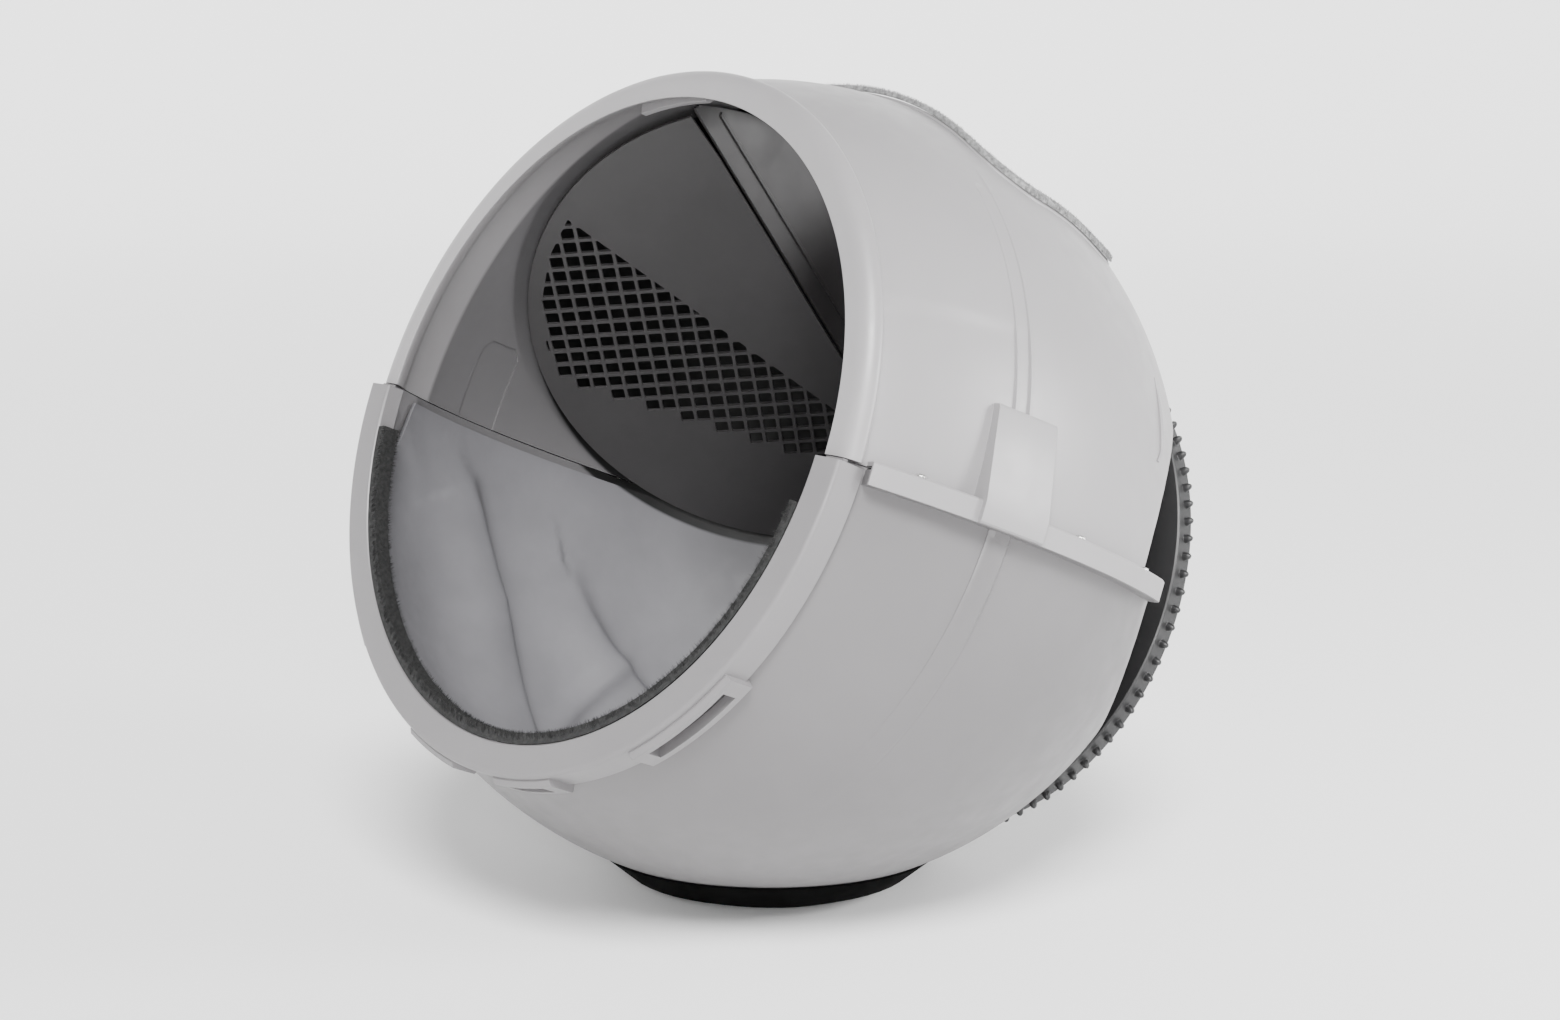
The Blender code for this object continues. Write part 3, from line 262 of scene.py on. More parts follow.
# Limits and tolerances.
FLAT_FACING = 0.2  # the rear flat can only cut the skin on the side that faces it
FLAT_BLEND = 0.004
FACES_IN = 0.3  # how squarely a face must look inwards or forwards to count as an inner one
FACES_FORWARD = 0.9
SLOPE_STEP = 0.001
SHARP_DEG = 35.0  # angles at which shading breaks
LINER_SHARP_DEG = 80.0
SCREEN_SHARP_DEG = 25.0
NODE_SHARP_DEG = 32.0
NODE_BEVEL = 0.0003
WELD = 0.00001  # points closer than this are joined, and faces flatter than FLAT_DEG are merged
FLAT_DEG = 0.3
# Stage and camera, in the world's frame.
FLOOR_RADIUS = 5.0
FLOOR_CURVE = 2.5
FLOOR_TOP = 5.0
FLOOR_STEPS = 12
FLOOR_SIDES = 96
CAMERA_LENS = 69.23  # focal length and sensor width in millimetres
CAMERA_SENSOR = 36.0
CAMERA_AZIMUTH_DEG = 47.806
CAMERA_ELEVATION_DEG = 9.711
CAMERA_DISTANCE = 1.8822
CAMERA_AIM = (-0.0003, -0.0040, -0.0176)
NOISE_RANGE = (0.3, 0.7)  # where most of a noise texture's values lie
MIX_SHARE = 0  # sockets of a colour Mix node, by place because their names repeat
MIX_FIRST = 6
MIX_SECOND = 7
MIX_RESULT = 2


# ---- the drum frame in the world
def drum_matrix():
    """Tips the drum back by its tilt and rests its lowest point just inside the foot."""
    tilt = math.radians(DRUM_TILT)
    foot_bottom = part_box("foot_dish")[0].z
    across = BODY_RADIUS ** 2 * math.cos(tilt)
    along = BODY_HALF_LENGTH ** 2 * math.sin(tilt)
    size = math.sqrt(across * math.cos(tilt) + along * math.sin(tilt))
    lowest = Vector((0, BODY_CENTRE + along / size, -across / size - SEAM_GAP / 2))
    turn = Matrix.Rotation(-tilt, 4, "X")
    return Matrix.Translation(Vector((0, 0, foot_bottom + FOOT_DROP)) - turn @ lowest) @ turn


DRUM = drum_matrix()


# ---- mesh helpers
def linked(name, data):
    made = bpy.data.objects.new(name, data)
    bpy.context.scene.collection.objects.link(made)
    return made


def drum_mesh(name, points, faces, sharp):
    """Mesh of points given in the drum frame, smooth except at edges sharper than the given angle."""
    mesh = bpy.data.meshes.new(name)
    mesh.from_pydata([tuple(point) for point in points], [], faces)
    work = bmesh.new()
    work.from_mesh(mesh)
    bmesh.ops.recalc_face_normals(work, faces=work.faces)
    work.to_mesh(mesh)
    work.free()
    mesh.transform(DRUM)
    mesh.shade_smooth()
    mesh.set_sharp_from_angle(angle=math.radians(sharp))
    return mesh


def stand_for(piece, node):
    """Puts a piece on its CAD node's body, in the node's place, and hides the node."""
    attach(piece, NODE_BODY[node])
    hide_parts(node)


def make_piece(name, node, points, faces, sharp=SHARP_DEG):
    """Adds a piece, given in the drum frame, that stands for a CAD node and wears its finish."""
    mesh = drum_mesh(name, points, faces, sharp)
    mesh.materials.append(FINISH[SLOTS[node]])
    piece = linked(name, mesh)
    stand_for(piece, node)
    return piece


def swept_solid(sections, closed=False):
    """Joins equal sections, each a loop of points, into one closed solid."""
    size = len(sections[0])
    count = len(sections)
    points = [point for section in sections for point in section]
    faces = []
    for index in range(count if closed else count - 1):
        here = index * size
        there = ((index + 1) % count) * size
        for corner in range(size):
            following = (corner + 1) % size
            faces.append((here + corner, here + following, there + following, there + corner))
    if not closed:
        faces.append(tuple(range(size)))
        faces.append(tuple(range((count - 1) * size, count * size)))
    return points, faces


def swept_skin(outer_rows, inner_rows):
    """Closed solid between two grids of points; row k of each belongs to the same angle."""
    size = len(outer_rows[0])
    sections = [outer + inner[::-1] for outer, inner in zip(outer_rows, inner_rows)]
    points, faces = swept_solid(sections)
    faces = faces[:-2]
    for first in (0, (len(sections) - 1) * 2 * size):
        for step in range(size - 1):
            opposite = 2 * size - 1 - step
            faces.append((first + step, first + step + 1, first + opposite - 1, first + opposite))
    return points, faces


def merged(pieces):
    """Several (points, faces) solids as one."""
    points, faces = [], []
    for piece_points, piece_faces in pieces:
        offset = len(points)
        points.extend(piece_points)
        faces.extend(tuple(index + offset for index in face) for face in piece_faces)
    return points, faces


def apply_boolean(target, mesh, operation):
    """Joins or cuts a (points, faces) solid given in the drum frame, and keeps only the result."""
    tool = linked("tool", drum_mesh("tool", *mesh, SHARP_DEG))
    modifier = target.modifiers.new("tool", "BOOLEAN")
    modifier.operation = operation
    modifier.object = tool
    modifier.solver = "EXACT"
    graph = bpy.context.evaluated_depsgraph_get()
    result = bpy.data.meshes.new_from_object(target.evaluated_get(graph))
    target.modifiers.clear()
    target.data = result
    bpy.data.objects.remove(tool)
    result.shade_smooth()
    result.set_sharp_from_angle(angle=math.radians(SHARP_DEG))


def spread(start, end, steps):
    return [start + (end - start) * step / steps for step in range(steps + 1)]


def polar(radius, y, degrees):
    angle = math.radians(degrees)
    return Vector((radius * math.cos(angle), y, radius * math.sin(angle)))


# ---- the drum's shape
def body_radius(y, inset=0.0):
    """Radius of the drum's skin at y, or of one that lies an inset further in."""
    along = (y - BODY_CENTRE) / (BODY_HALF_LENGTH - inset)
    return (BODY_RADIUS - inset) * math.sqrt(max(0.0, 1.0 - along * along))


def flat_reach(y, inset, flat_inset):
    """How far to the right the slanting flat at the rear lets the skin reach."""
    return body_radius(REAR_WALL) - flat_inset - inset * math.sqrt(2.0) + REAR_WALL - y


def soft_min(first, second, blend):
    """The smaller of two lengths, rounded off where they meet."""
    share = max(0.0, min(1.0, 0.5 + 0.5 * (second - first) / blend))
    return second + (first - second) * share - blend * share * (1.0 - share)


def skin_point(degrees, y, inset, flat_inset, raised=0.0):
    """Point of the skin at an angle, counted from the right side upwards."""
    radius = body_radius(y, inset) + raised
    turn = math.cos(math.radians(degrees))
    if turn > FLAT_FACING:
        radius = soft_min(radius, flat_reach(y, inset, flat_inset) / turn, FLAT_BLEND)
    return polar(radius, y, degrees)


def smooth_step(value):
    share = max(0.0, min(1.0, value))
    return share * share * (3.0 - 2.0 * share)


def crease(degrees, y):
    """The hood's skin steps out a little above a soft line that fades towards the back."""
    above = smooth_step((degrees - CREASE_DEG) / CREASE_WIDTH_DEG + 0.5)
    below_top = smooth_step((CREASE_TOP_DEG - degrees) / CREASE_FADE_DEG)
    return CREASE_STEP * above * below_top * (1.0 - smooth_step(y / CREASE_LENGTH))


def no_crease(degrees, y):
    return 0.0


def shell_grid(span, rim, inset, back, flat_inset, hub, relief):
    """One skin of a shell: rows of points over the rim, along the body and down the rear wall to the hub."""
    front = rim[-1][0] + SHELL_START
    grid = []
    for degrees in spread(*span, SHELL_STEPS):
        row = [skin_point(degrees, y, inset, flat_inset, raised) for y, raised in rim]
        for step in range(SHELL_ROWS + 1):
            y = front + (back - front) * math.sin(math.pi / 2 * step / SHELL_ROWS)
            row.append(skin_point(degrees, y, inset, flat_inset, relief(degrees, y)))
        edge = row[-1]
        for share in SHELL_REAR_SHARES:
            row.append(Vector((edge.x * share, edge.y, edge.z * share)))
        row.append(polar(hub, back, degrees))
        grid.append(row)
    return grid


def shell(name, node, span, rims, flat_inset, lift, hub, relief=no_crease):
    """Fine version of a CAD shell: rim, body, then the rear wall in to the hub."""
    outer = shell_grid(span, rims[0], 0.0, REAR_WALL, flat_inset, hub, relief)
    inner = shell_grid(span, rims[1], WALL, REAR_WALL - WALL, flat_inset, hub, no_crease)
    points, faces = swept_skin(outer, inner)
    points = [point + Vector((0, 0, lift)) for point in points]
    return make_piece(name, node, points, faces)


def rail_frame(side, y):
    """Point of the seam at one side, 1 for right or -1 for left, and the skin's normal there."""
    slope = (body_radius(y + SLOPE_STEP) - body_radius(y - SLOPE_STEP)) / (2 * SLOPE_STEP)
    return Vector((side * body_radius(y), y, 0)), Vector((side, -slope, 0)).normalized()


def rail(side, profile, flat_inset, front=RAIL_FRONT, back=RAIL_BACK, steps=RAIL_STEPS):
    """Rail along the seam; profile rows are (outwards, up), with None for a row rooted in the skin."""
    sections = []
    for y in spread(front, back, steps):
        point, normal = rail_frame(side, y)
        reach = body_radius(y)
        if side > 0:
            reach = min(reach, flat_reach(y, 0.0, flat_inset))
        root = Vector((side * (reach - WALL / 2), y, 0))
        end_round = 1.0
        if back == RAIL_BACK:
            end_round = min(1.0, math.sqrt(max(RAIL_END_LEAST, (back - y) / RAIL_END_ROUND)))
        section = []
        for outward, up in profile:
            base = root if outward is None else point + normal * outward * end_round
            section.append(base + Vector((0, 0, up)))
        sections.append(section)
    return swept_solid(sections)


def boss(side):
    """Tall pad on the seam rail that leans in towards the skin at its top."""
    recess = BODY_RADIUS - math.sqrt(BODY_RADIUS ** 2 - BOSS_HEIGHT ** 2)
    profile = (
        (RAIL_REACH - SKIRT / 2, -RAIL_DROP), (BOSS_REACH - BREAK, -RAIL_DROP),
        (BOSS_REACH, -RAIL_DROP + BREAK), (BOSS_REACH, RAIL_TOP),
        (BOSS_TOP_REACH - recess + BOSS_LEAN, BOSS_HEIGHT - 2 * BREAK),
        (BOSS_TOP_REACH - recess - BREAK, BOSS_HEIGHT), (-recess - WALL / 2, BOSS_HEIGHT),
        (-WALL / 2, RAIL_TOP / 2), (RAIL_REACH - SKIRT / 2, RAIL_TOP / 2),
    )
    return rail(side, profile, 0.0, BOSS[0], BOSS[1], steps=12)


def both_sides(make, *sizes):
    return merged([make(1, *sizes), make(-1, *sizes)])


def raised_strip(front, back, angles, reach_at, lift):
    """Low strip with rounded shoulders across the drum's outside."""
    sections = []
    round_off = (back - front) * STRIP_ROUND
    for degrees in angles:
        reach = reach_at(degrees)
        profile = ((front, -WALL / 2), (front, reach * STRIP_EDGE), (front + round_off, reach),
                   (back - round_off, reach), (back, reach * STRIP_EDGE), (back, -WALL / 2))
        section = []
        for y, height in profile:
            section.append(polar(body_radius(y) + height, y, degrees) + Vector((0, 0, lift)))
        sections.append(section)
    return swept_solid(sections)


def arc_solid(profile, start, end, steps):
    sections = [[polar(radius, y, degrees) for radius, y in profile] for degrees in spread(start, end, steps)]
    return swept_solid(sections)


REMODELLED = (
    "upper_shell", "lower_shell", "entry_bezel", "entry_pile_seal", "waste_port_collar",
    "waste_port_seal", "liner", "ring_gear", "sifting_screen",
)
SLOTS = {row["node"]: row["material_slot"] for row in frame["record"]["subparts"]}
NODE_BODY = {node: body for body, nodes in frame["record"]["behaviour"]["bodies"].items() for node in nodes}


# ---- materials
def node_material(name):
    made = bpy.data.materials.new(name)
    made.use_nodes = True
    tree = made.node_tree
    return made, tree, tree.nodes["Principled BSDF"]


def noise_node(tree, scale, detail=3.0, roughness=0.5):
    place = tree.nodes.get("Texture Coordinate") or tree.nodes.new("ShaderNodeTexCoord")
    grain = tree.nodes.new("ShaderNodeTexNoise")
    grain.inputs["Scale"].default_value = scale
    grain.inputs["Detail"].default_value = detail
    grain.inputs["Roughness"].default_value = roughness
    tree.links.new(place.outputs["Object"], grain.inputs["Vector"])
    return grain.outputs["Fac"]


def remap(tree, value, low, high):
    """Maps a noise value from its usual middle range to low..high."""
    node = tree.nodes.new("ShaderNodeMapRange")
    node.inputs["From Min"].default_value = NOISE_RANGE[0]
    node.inputs["From Max"].default_value = NOISE_RANGE[1]
    node.inputs["To Min"].default_value = low
    node.inputs["To Max"].default_value = high
    tree.links.new(value, node.inputs["Value"])
    return node.outputs["Result"]


def mixed(tree, share, first, second):
    """Colour between two colours, or between a colour output and a colour."""
    mix = tree.nodes.new("ShaderNodeMix")
    mix.data_type = "RGBA"
    if isinstance(first, tuple):
        mix.inputs[MIX_FIRST].default_value = (*first, 1.0)
    else:
        tree.links.new(first, mix.inputs[MIX_FIRST])
    mix.inputs[MIX_SECOND].default_value = (*second, 1.0)
    tree.links.new(share, mix.inputs[MIX_SHARE])
    return mix.outputs[MIX_RESULT]


def mottled(tree, shader, noise_value, dark, light):
    tree.links.new(mixed(tree, remap(tree, noise_value, 0.0, 1.0), dark, light), shader.inputs["Base Color"])


def uneven_gloss(tree, shader, noise_value, roughness, less, more):
    gloss = remap(tree, noise_value, roughness - less, roughness + more)
    tree.links.new(gloss, shader.inputs["Roughness"])


def scaled(colour, factor):
    return tuple(min(1.0, channel * factor) for channel in colour)


def bumped(tree, shader, height, strength, distance, edge_radius=0.0):
    """Fine relief, over edges that look rounded when edge_radius isn't zero."""
    bump = tree.nodes.new("ShaderNodeBump")
    bump.inputs["Strength"].default_value = strength
    bump.inputs["Distance"].default_value = distance
    tree.links.new(height, bump.inputs["Height"])
    if edge_radius:
        rounded = tree.nodes.new("ShaderNodeBevel")
        rounded.samples = 6
        rounded.inputs["Radius"].default_value = edge_radius
        tree.links.new(rounded.outputs["Normal"], bump.inputs["Normal"])
    tree.links.new(bump.outputs["Normal"], shader.inputs["Normal"])


def plastic(name, colour, roughness, mottle=0.05, grain=0.25, edge=0.0007, specular=0.5):
    """Moulded plastic: faint mottling, fine spark-eroded grain, uneven gloss and softened edges."""
    made, tree, shader = node_material(name)
    mottled(tree, shader, noise_node(tree, scale=9.0, detail=4.0),
            scaled(colour, 1.0 - mottle), scaled(colour, 1.0 + mottle))
    uneven_gloss(tree, shader, noise_node(tree, scale=60.0, detail=5.0), roughness, less=0.05, more=0.06)
    shader.inputs["Specular IOR Level"].default_value = specular
    height = noise_node(tree, scale=2600.0, detail=2.0)
    bumped(tree, shader, height, strength=grain, distance=0.00006, edge_radius=edge)
    return made


def rubber(name, colour, roughness):
    """Soft matt rubber with a faint bloom and a leathery grain."""
    made, tree, shader = node_material(name)
    mottled(tree, shader, noise_node(tree, scale=14.0, detail=6.0, roughness=0.6),
            scaled(colour, 0.90), scaled(colour, 1.10))
    uneven_gloss(tree, shader, noise_node(tree, scale=90.0, detail=4.0), roughness, less=0.06, more=0.06)
    height = noise_node(tree, scale=900.0, detail=5.0, roughness=0.7)
    bumped(tree, shader, height, strength=0.35, distance=0.0002)
    return made


def pile(name, dark, light):
    """Fibre brush: each tuft varies between two tones."""
    made, tree, shader = node_material(name)
    mottled(tree, shader, noise_node(tree, scale=420.0, detail=2.0), dark, light)
    shader.inputs["Roughness"].default_value = 0.9
    shader.inputs["Sheen Weight"].default_value = 0.03
    shader.inputs["Sheen Roughness"].default_value = 0.4
    bumped(tree, shader, noise_node(tree, scale=1500.0, detail=3.0), strength=0.6, distance=0.0004)
    return made


def metal(name, colour, roughness):
    """Plated steel with faint blotches and turning marks."""
    made, tree, shader = node_material(name)
    shader.inputs["Metallic"].default_value = 1.0
    mottled(tree, shader, noise_node(tree, scale=300.0, detail=3.0), scaled(colour, 0.85), colour)
    uneven_gloss(tree, shader, noise_node(tree, scale=500.0, detail=3.0), roughness, less=0.06, more=0.1)
    bumped(tree, shader, noise_node(tree, scale=2000.0, detail=2.0), strength=0.2, distance=0.00005,
           edge_radius=0.0003)
    return made


HOOD_GREY = (0.26, 0.252, 0.257)
FINISH = {
    "hood_plastic": plastic("hood_plastic", HOOD_GREY, 0.38, mottle=0.04, edge=0.0004),
    # Painted shade: the pan's and the bezel's base colours are darker than the hood's, though all three are
    # one grey plastic.
    "pan_plastic": plastic("pan_plastic", (0.132, 0.127, 0.130), 0.42, edge=0.0004),
    "bezel_plastic": plastic("bezel_plastic", (0.165, 0.159, 0.163), 0.37, mottle=0.04, edge=0.0004),
    "liner_rubber": rubber("liner_rubber", (0.150, 0.148, 0.157), 0.50),
    "seal_pile": pile("seal_pile", (0.002, 0.002, 0.002), (0.018, 0.018, 0.018)),
    "port_pile": pile("port_pile", (0.12, 0.12, 0.12), (0.30, 0.30, 0.30)),
    "screen_plastic": plastic("screen_plastic", (0.050, 0.048, 0.049), 0.5, mottle=0.08, grain=0.35,
                              edge=0.0),
    "septum_plastic": plastic("septum_plastic", (0.028, 0.026, 0.027), 0.5, mottle=0.08, grain=0.35),
    "gear_plastic": plastic("gear_plastic", (0.013, 0.013, 0.0135), 0.40, mottle=0.1, grain=0.3),
    "foot_plastic": plastic("foot_plastic", (0.0006, 0.0006, 0.0006), 0.8, mottle=0.1, grain=0.3, edge=0.0004,
                            specular=0.03),
    "gasket_foam": rubber("gasket_foam", (0.03, 0.03, 0.03), 0.9),
    "magnet_cap": plastic("magnet_cap", (0.05, 0.05, 0.055), 0.35, mottle=0.1, grain=0.3),
    "screw_steel": metal("screw_steel", (0.66, 0.66, 0.64), 0.28),
}


# ---- hood
def hood_rims():
    """Rounded bead at the hood's front, outside and inside: rows of (y, height off the skin)."""
    outer_rim = [(0.0, BEAD_START)]
    inner_rim = [(0.0, -BEAD_LINING)]
    for step in range(1, BEAD_STEPS):
        angle = math.pi * step / BEAD_STEPS
        y = BEAD_WIDTH / 2 * (1 - math.cos(angle))
        bulge = BEAD_SHOULDER + (1 - BEAD_SHOULDER) * math.sin(angle) ** BEAD_FULLNESS
        outer_rim.append((y, BEAD_HEIGHT * bulge))
        inner_rim.append((y, -BEAD_LINING - BEAD_HOLLOW * math.sin(angle)))
    outer_rim.append((BEAD_WIDTH, BEAD_END))
    inner_rim.append((BEAD_WIDTH, -BEAD_LINING))
    return outer_rim, inner_rim


def hood_rail_profile():
    """Section of the hood's seam rail with the skirt that hangs over the pan's."""
    underside = SEAM_GAP / 2 + GAP
    skirt = RAIL_REACH - SKIRT
    return (
        (None, underside), (skirt, underside), (skirt, -RAIL_DROP), (RAIL_REACH, -RAIL_DROP),
        (RAIL_REACH, RAIL_TOP - BREAK), (RAIL_REACH - BREAK, RAIL_TOP), (None, RAIL_TOP),
    )


def ridge_reach(degrees):
    return RIDGE_REACH * (RIDGE_DEG[1] - degrees) / (RIDGE_DEG[1] - RIDGE_DEG[0]) - SUNK_END


def ridges():
    """Two thin ridges that rise from the hood's right boss."""
    made = []
    for y in RIDGE_STATIONS:
        angles = spread(*RIDGE_DEG, steps=40)
        made.append(raised_strip(y - RIDGE_WIDTH / 2, y + RIDGE_WIDTH / 2, angles, ridge_reach, SEAM_GAP / 2))
    return merged(made)


def port_cutter():
    levels = (PORT_CUT_START, BODY_RADIUS + PORT_CUT_MARGIN)
    return swept_solid([[Vector((x, y, z)) for x, y in port_outline(0.0, corner_steps=16)] for z in levels])


def hood():
    piece = shell("hood", "upper_shell", (0.0, 180.0), hood_rims(), HOOD_FLAT_INSET,
                  SEAM_GAP / 2, HUB_BOSS_RADIUS + SEAM_GAP, crease)
    apply_boolean(piece, port_cutter(), "DIFFERENCE")
    apply_boolean(piece, both_sides(rail, hood_rail_profile(), HOOD_FLAT_INSET), "UNION")
    apply_boolean(piece, both_sides(boss), "UNION")
    apply_boolean(piece, ridges(), "UNION")
    apply_boolean(piece, hook(), "UNION")
    apply_boolean(piece, boss_recess(), "DIFFERENCE")
    skin_inside(piece, hood_inner_wall())


def seam_frame():
    """Start of the line where screen and divider meet, and the screen's normal."""
    ceiling = math.sqrt(body_radius(SEAM_START_Y, WALL) ** 2 - SEPTUM_X ** 2)
    along = Vector((0, math.cos(math.radians(SEAM_SLOPE_DEG)), -math.sin(math.radians(SEAM_SLOPE_DEG))))
    down = Vector((0, -math.sin(math.radians(SEAM_SLOPE_DEG)), -math.cos(math.radians(SEAM_SLOPE_DEG))))
    lean = math.radians(SCREEN_LEAN_DEG)
    fall = down * math.cos(lean) - Vector((1, 0, 0)) * math.sin(lean)
    normal = fall.cross(along).normalized()
    return Vector((SEPTUM_X, SEAM_START_Y, ceiling)), normal if normal.y < 0 else -normal


def skin_inside(piece, material):
    """Gives the inner faces of the hood or the pan a material of their own."""
    back = DRUM.inverted()
    piece.data.materials.append(material)
    inside = len(piece.data.materials) - 1
    for face in piece.data.polygons:
        centre = back @ face.center
        turned = back.to_3x3() @ face.normal
        radial = Vector((centre.x, 0, centre.z))
        near = radial.length < body_radius(min(centre.y, REAR_WALL)) - WALL / 2
        if near and (turned.dot(radial.normalized()) < -FACES_IN or turned.y < -FACES_FORWARD):
            face.material_index = inside


def beyond(tree, direction, distance, blend):
    """Rises from 0 to 1 past a plane across the given direction in the world at rest."""
    dot = tree.nodes.new("ShaderNodeVectorMath")
    dot.operation = "DOT_PRODUCT"
    dot.inputs[1].default_value = direction
    tree.links.new(tree.nodes["Texture Coordinate"].outputs["Object"], dot.inputs[0])
    ramp = tree.nodes.new("ShaderNodeMapRange")
    ramp.inputs["From Min"].default_value = distance - blend
    ramp.inputs["From Max"].default_value = distance + blend
    tree.links.new(dot.outputs["Value"], ramp.inputs["Value"])
    return ramp.outputs["Result"]


def past_screen(tree, offset, blend, tilt=0.0):
    """Rises from 0 to 1 past the screen's front face moved back by an offset, and further back higher up."""
    start, normal = seam_frame()
    turn = DRUM.to_3x3()
    through = turn @ -normal
    up = turn @ Vector((0, 0, 1))
    distance = (DRUM @ (start - normal * offset)).dot(through) - DRUM.translation.dot(up) * tilt
    return beyond(tree, through - up * tilt, distance, blend)


def past_lip(tree, depth):
    """Rises from 0 to 1 past a depth behind the drum's front rim."""
    backwards = DRUM.to_3x3() @ Vector((0, 1, 0))
    return beyond(tree, backwards, (DRUM @ Vector((0, depth, 0))).dot(backwards), SHADE_EDGE_BLUR)


def repaint(material, share, colour):
    """Turns a material's colour into another one where a share rises to 1."""
    tree = material.node_tree
    shader = tree.nodes["Principled BSDF"]
    base = shader.inputs["Base Color"].links[0].from_socket
    tree.links.new(mixed(tree, share, base, colour), shader.inputs["Base Color"])


def hood_inner_wall():
    """Hood's grained inner wall: its own grey at the lip, then painted shade, and painted black shadow in the
    chamber behind the screen.
    """
    made = plastic("hood_inner_wall", HOOD_GREY, 0.5, grain=0.35, edge=0.0004)
    tree = made.node_tree
    # Painted shade: the wall turns grey past the lip.
    repaint(made, past_lip(tree, HOOD_SHADE_DEPTH), INNER_PAINTED_SHADE)
    # Painted black shadow in the chamber behind the screen and left of the divider.
    chamber = tree.nodes.new("ShaderNodeMath")
    chamber.operation = "MULTIPLY"
    tree.links.new(past_screen(tree, SCREEN_THICKNESS, CHAMBER_SHADOW_BLUR, CHAMBER_SHADOW_TILT), chamber.inputs[0])
    tree.links.new(beyond(tree, Vector((-1, 0, 0)), -SEPTUM_X, CHAMBER_SHADOW_BLUR), chamber.inputs[1])
    repaint(made, chamber.outputs["Value"], PAINTED_SHADOW_BLACK)
    return made


def pan_inner_wall():
    """Pan's inner wall: a pale lip, then painted shade, and painted black shadow from just in front of the
    screen.
    """
    # Painted shade: the lip's base colour is darker than the hood's grey.
    made = plastic("pan_inner_wall", (0.20, 0.195, 0.20), 0.42)
    repaint(made, past_lip(made.node_tree, PAN_SHADE_DEPTH), INNER_PAINTED_SHADE)
    paint_screen_shadow(made)
    return made


def paint_screen_shadow(material):
    """Paints black shadow on a material of the pan or liner from just in front of the screen."""
    repaint(material, past_screen(material.node_tree, -TUCK_SHADOW_WIDTH, TUCK_SHADOW_BLUR), PAINTED_SHADOW_BLACK)


def hook():
    """Thin raised line that curls forward at its lower end."""
    sections = []
    for share in spread(0.0, 1.0, steps=30):
        degrees = HOOK_DEG[0] + (HOOK_DEG[1] - HOOK_DEG[0]) * share
        curl = HOOK_CURL * max(0.0, 1.0 - share / HOOK_CURL_SHARE) ** 2
        half = HOOK_HALF_WIDTH + HOOK_WIDER * (1.0 - share)
        swell = math.sin(math.pi * min(1.0, share + HOOK_TAPER))
        reach = HOOK_REACH * math.sqrt(max(HOOK_LEAST, swell))
        front = HOOK_Y - half - curl
        back = HOOK_Y + half - curl
        profile = ((front, -WALL / 2), (front, reach / 2), (HOOK_Y - curl, reach), (back, reach / 2),
                   (back, -WALL / 2))
        sections.append([polar(body_radius(y) + height, y, degrees) + Vector((0, 0, SEAM_GAP / 2))
                         for y, height in profile])
    return swept_solid(sections)


def boss_recess():
    """Cutter for the shallow pocket in the hood's inner wall, behind the left boss."""
    sections = []
    for degrees in spread(RECESS_START_DEG, 180.0 - math.degrees(BOSS_HEIGHT / BODY_RADIUS), steps=24):
        corner = 0.0
        if degrees < RECESS_CORNER_DEG[1]:
            corner = RECESS_CORNER * max(0.0, 1.0 - (degrees - RECESS_CORNER_DEG[0]) / RECESS_CORNER_SPAN)
        front = BOSS[0] + RECESS_MARGIN + corner
        back = BOSS[1] - RECESS_MARGIN - corner
        deep = [polar(body_radius(y, WALL) + RECESS_DEPTH, y, degrees) for y in spread(front, back, 4)]
        open_side = [polar(body_radius(y, WALL) - RECESS_CUT, y, degrees) for y in spread(back, front, 4)]
        sections.append(deep + open_side)
    return swept_solid(sections)


def port_outline(margin, corner_steps):
    radius = PORT_CORNER + margin
    left, right = PORT_X[0] + PORT_CORNER, PORT_X[1] - PORT_CORNER
    front, back = PORT_Y[0] + PORT_CORNER, PORT_Y[1] - PORT_CORNER
    corners = ((right, back, 0), (left, back, 90), (left, front, 180), (right, front, 270))
    outline = []
    for centre_x, centre_y, start in corners:
        for step in range(corner_steps + 1):
            angle = math.radians(start + 90.0 * step / corner_steps)
            outline.append((centre_x + radius * math.cos(angle), centre_y + radius * math.sin(angle)))
    return outline


# ---- pan
def rib_reach(degrees):
    return RIB_REACH * (RIB_END_DEG + degrees) / RIB_END_DEG - SUNK_END


def catches():
    """Low catches on the pan, one for each window of the bezel."""
    _, skirt, _ = bezel_radii()
    top = skirt - CATCH_FIT
    profile = ((body_radius(CATCH_FRONT) - WALL / 2, CATCH_FRONT), (top, WINDOW[0] + CATCH_LEAD),
               (top, CATCH_BACK), (body_radius(CATCH_BACK) - WALL / 2, CATCH_BACK))
    made = []
    for centre, half in STRAPS:
        width = half - WINDOW_MARGIN_DEG - CATCH_SIDE_DEG
        made.append(arc_solid(profile, centre - width, centre + width, steps=12))
    return merged(made)


def rear_disc():
    """Middle of the pan's rear wall, which carries the hub."""
    back = [polar(HUB_BOSS_RADIUS, REAR_WALL - WALL, 360.0 * step / DISC_STEPS) for step in range(DISC_STEPS)]
    return swept_solid([back, [point + Vector((0, WALL, 0)) for point in back]])


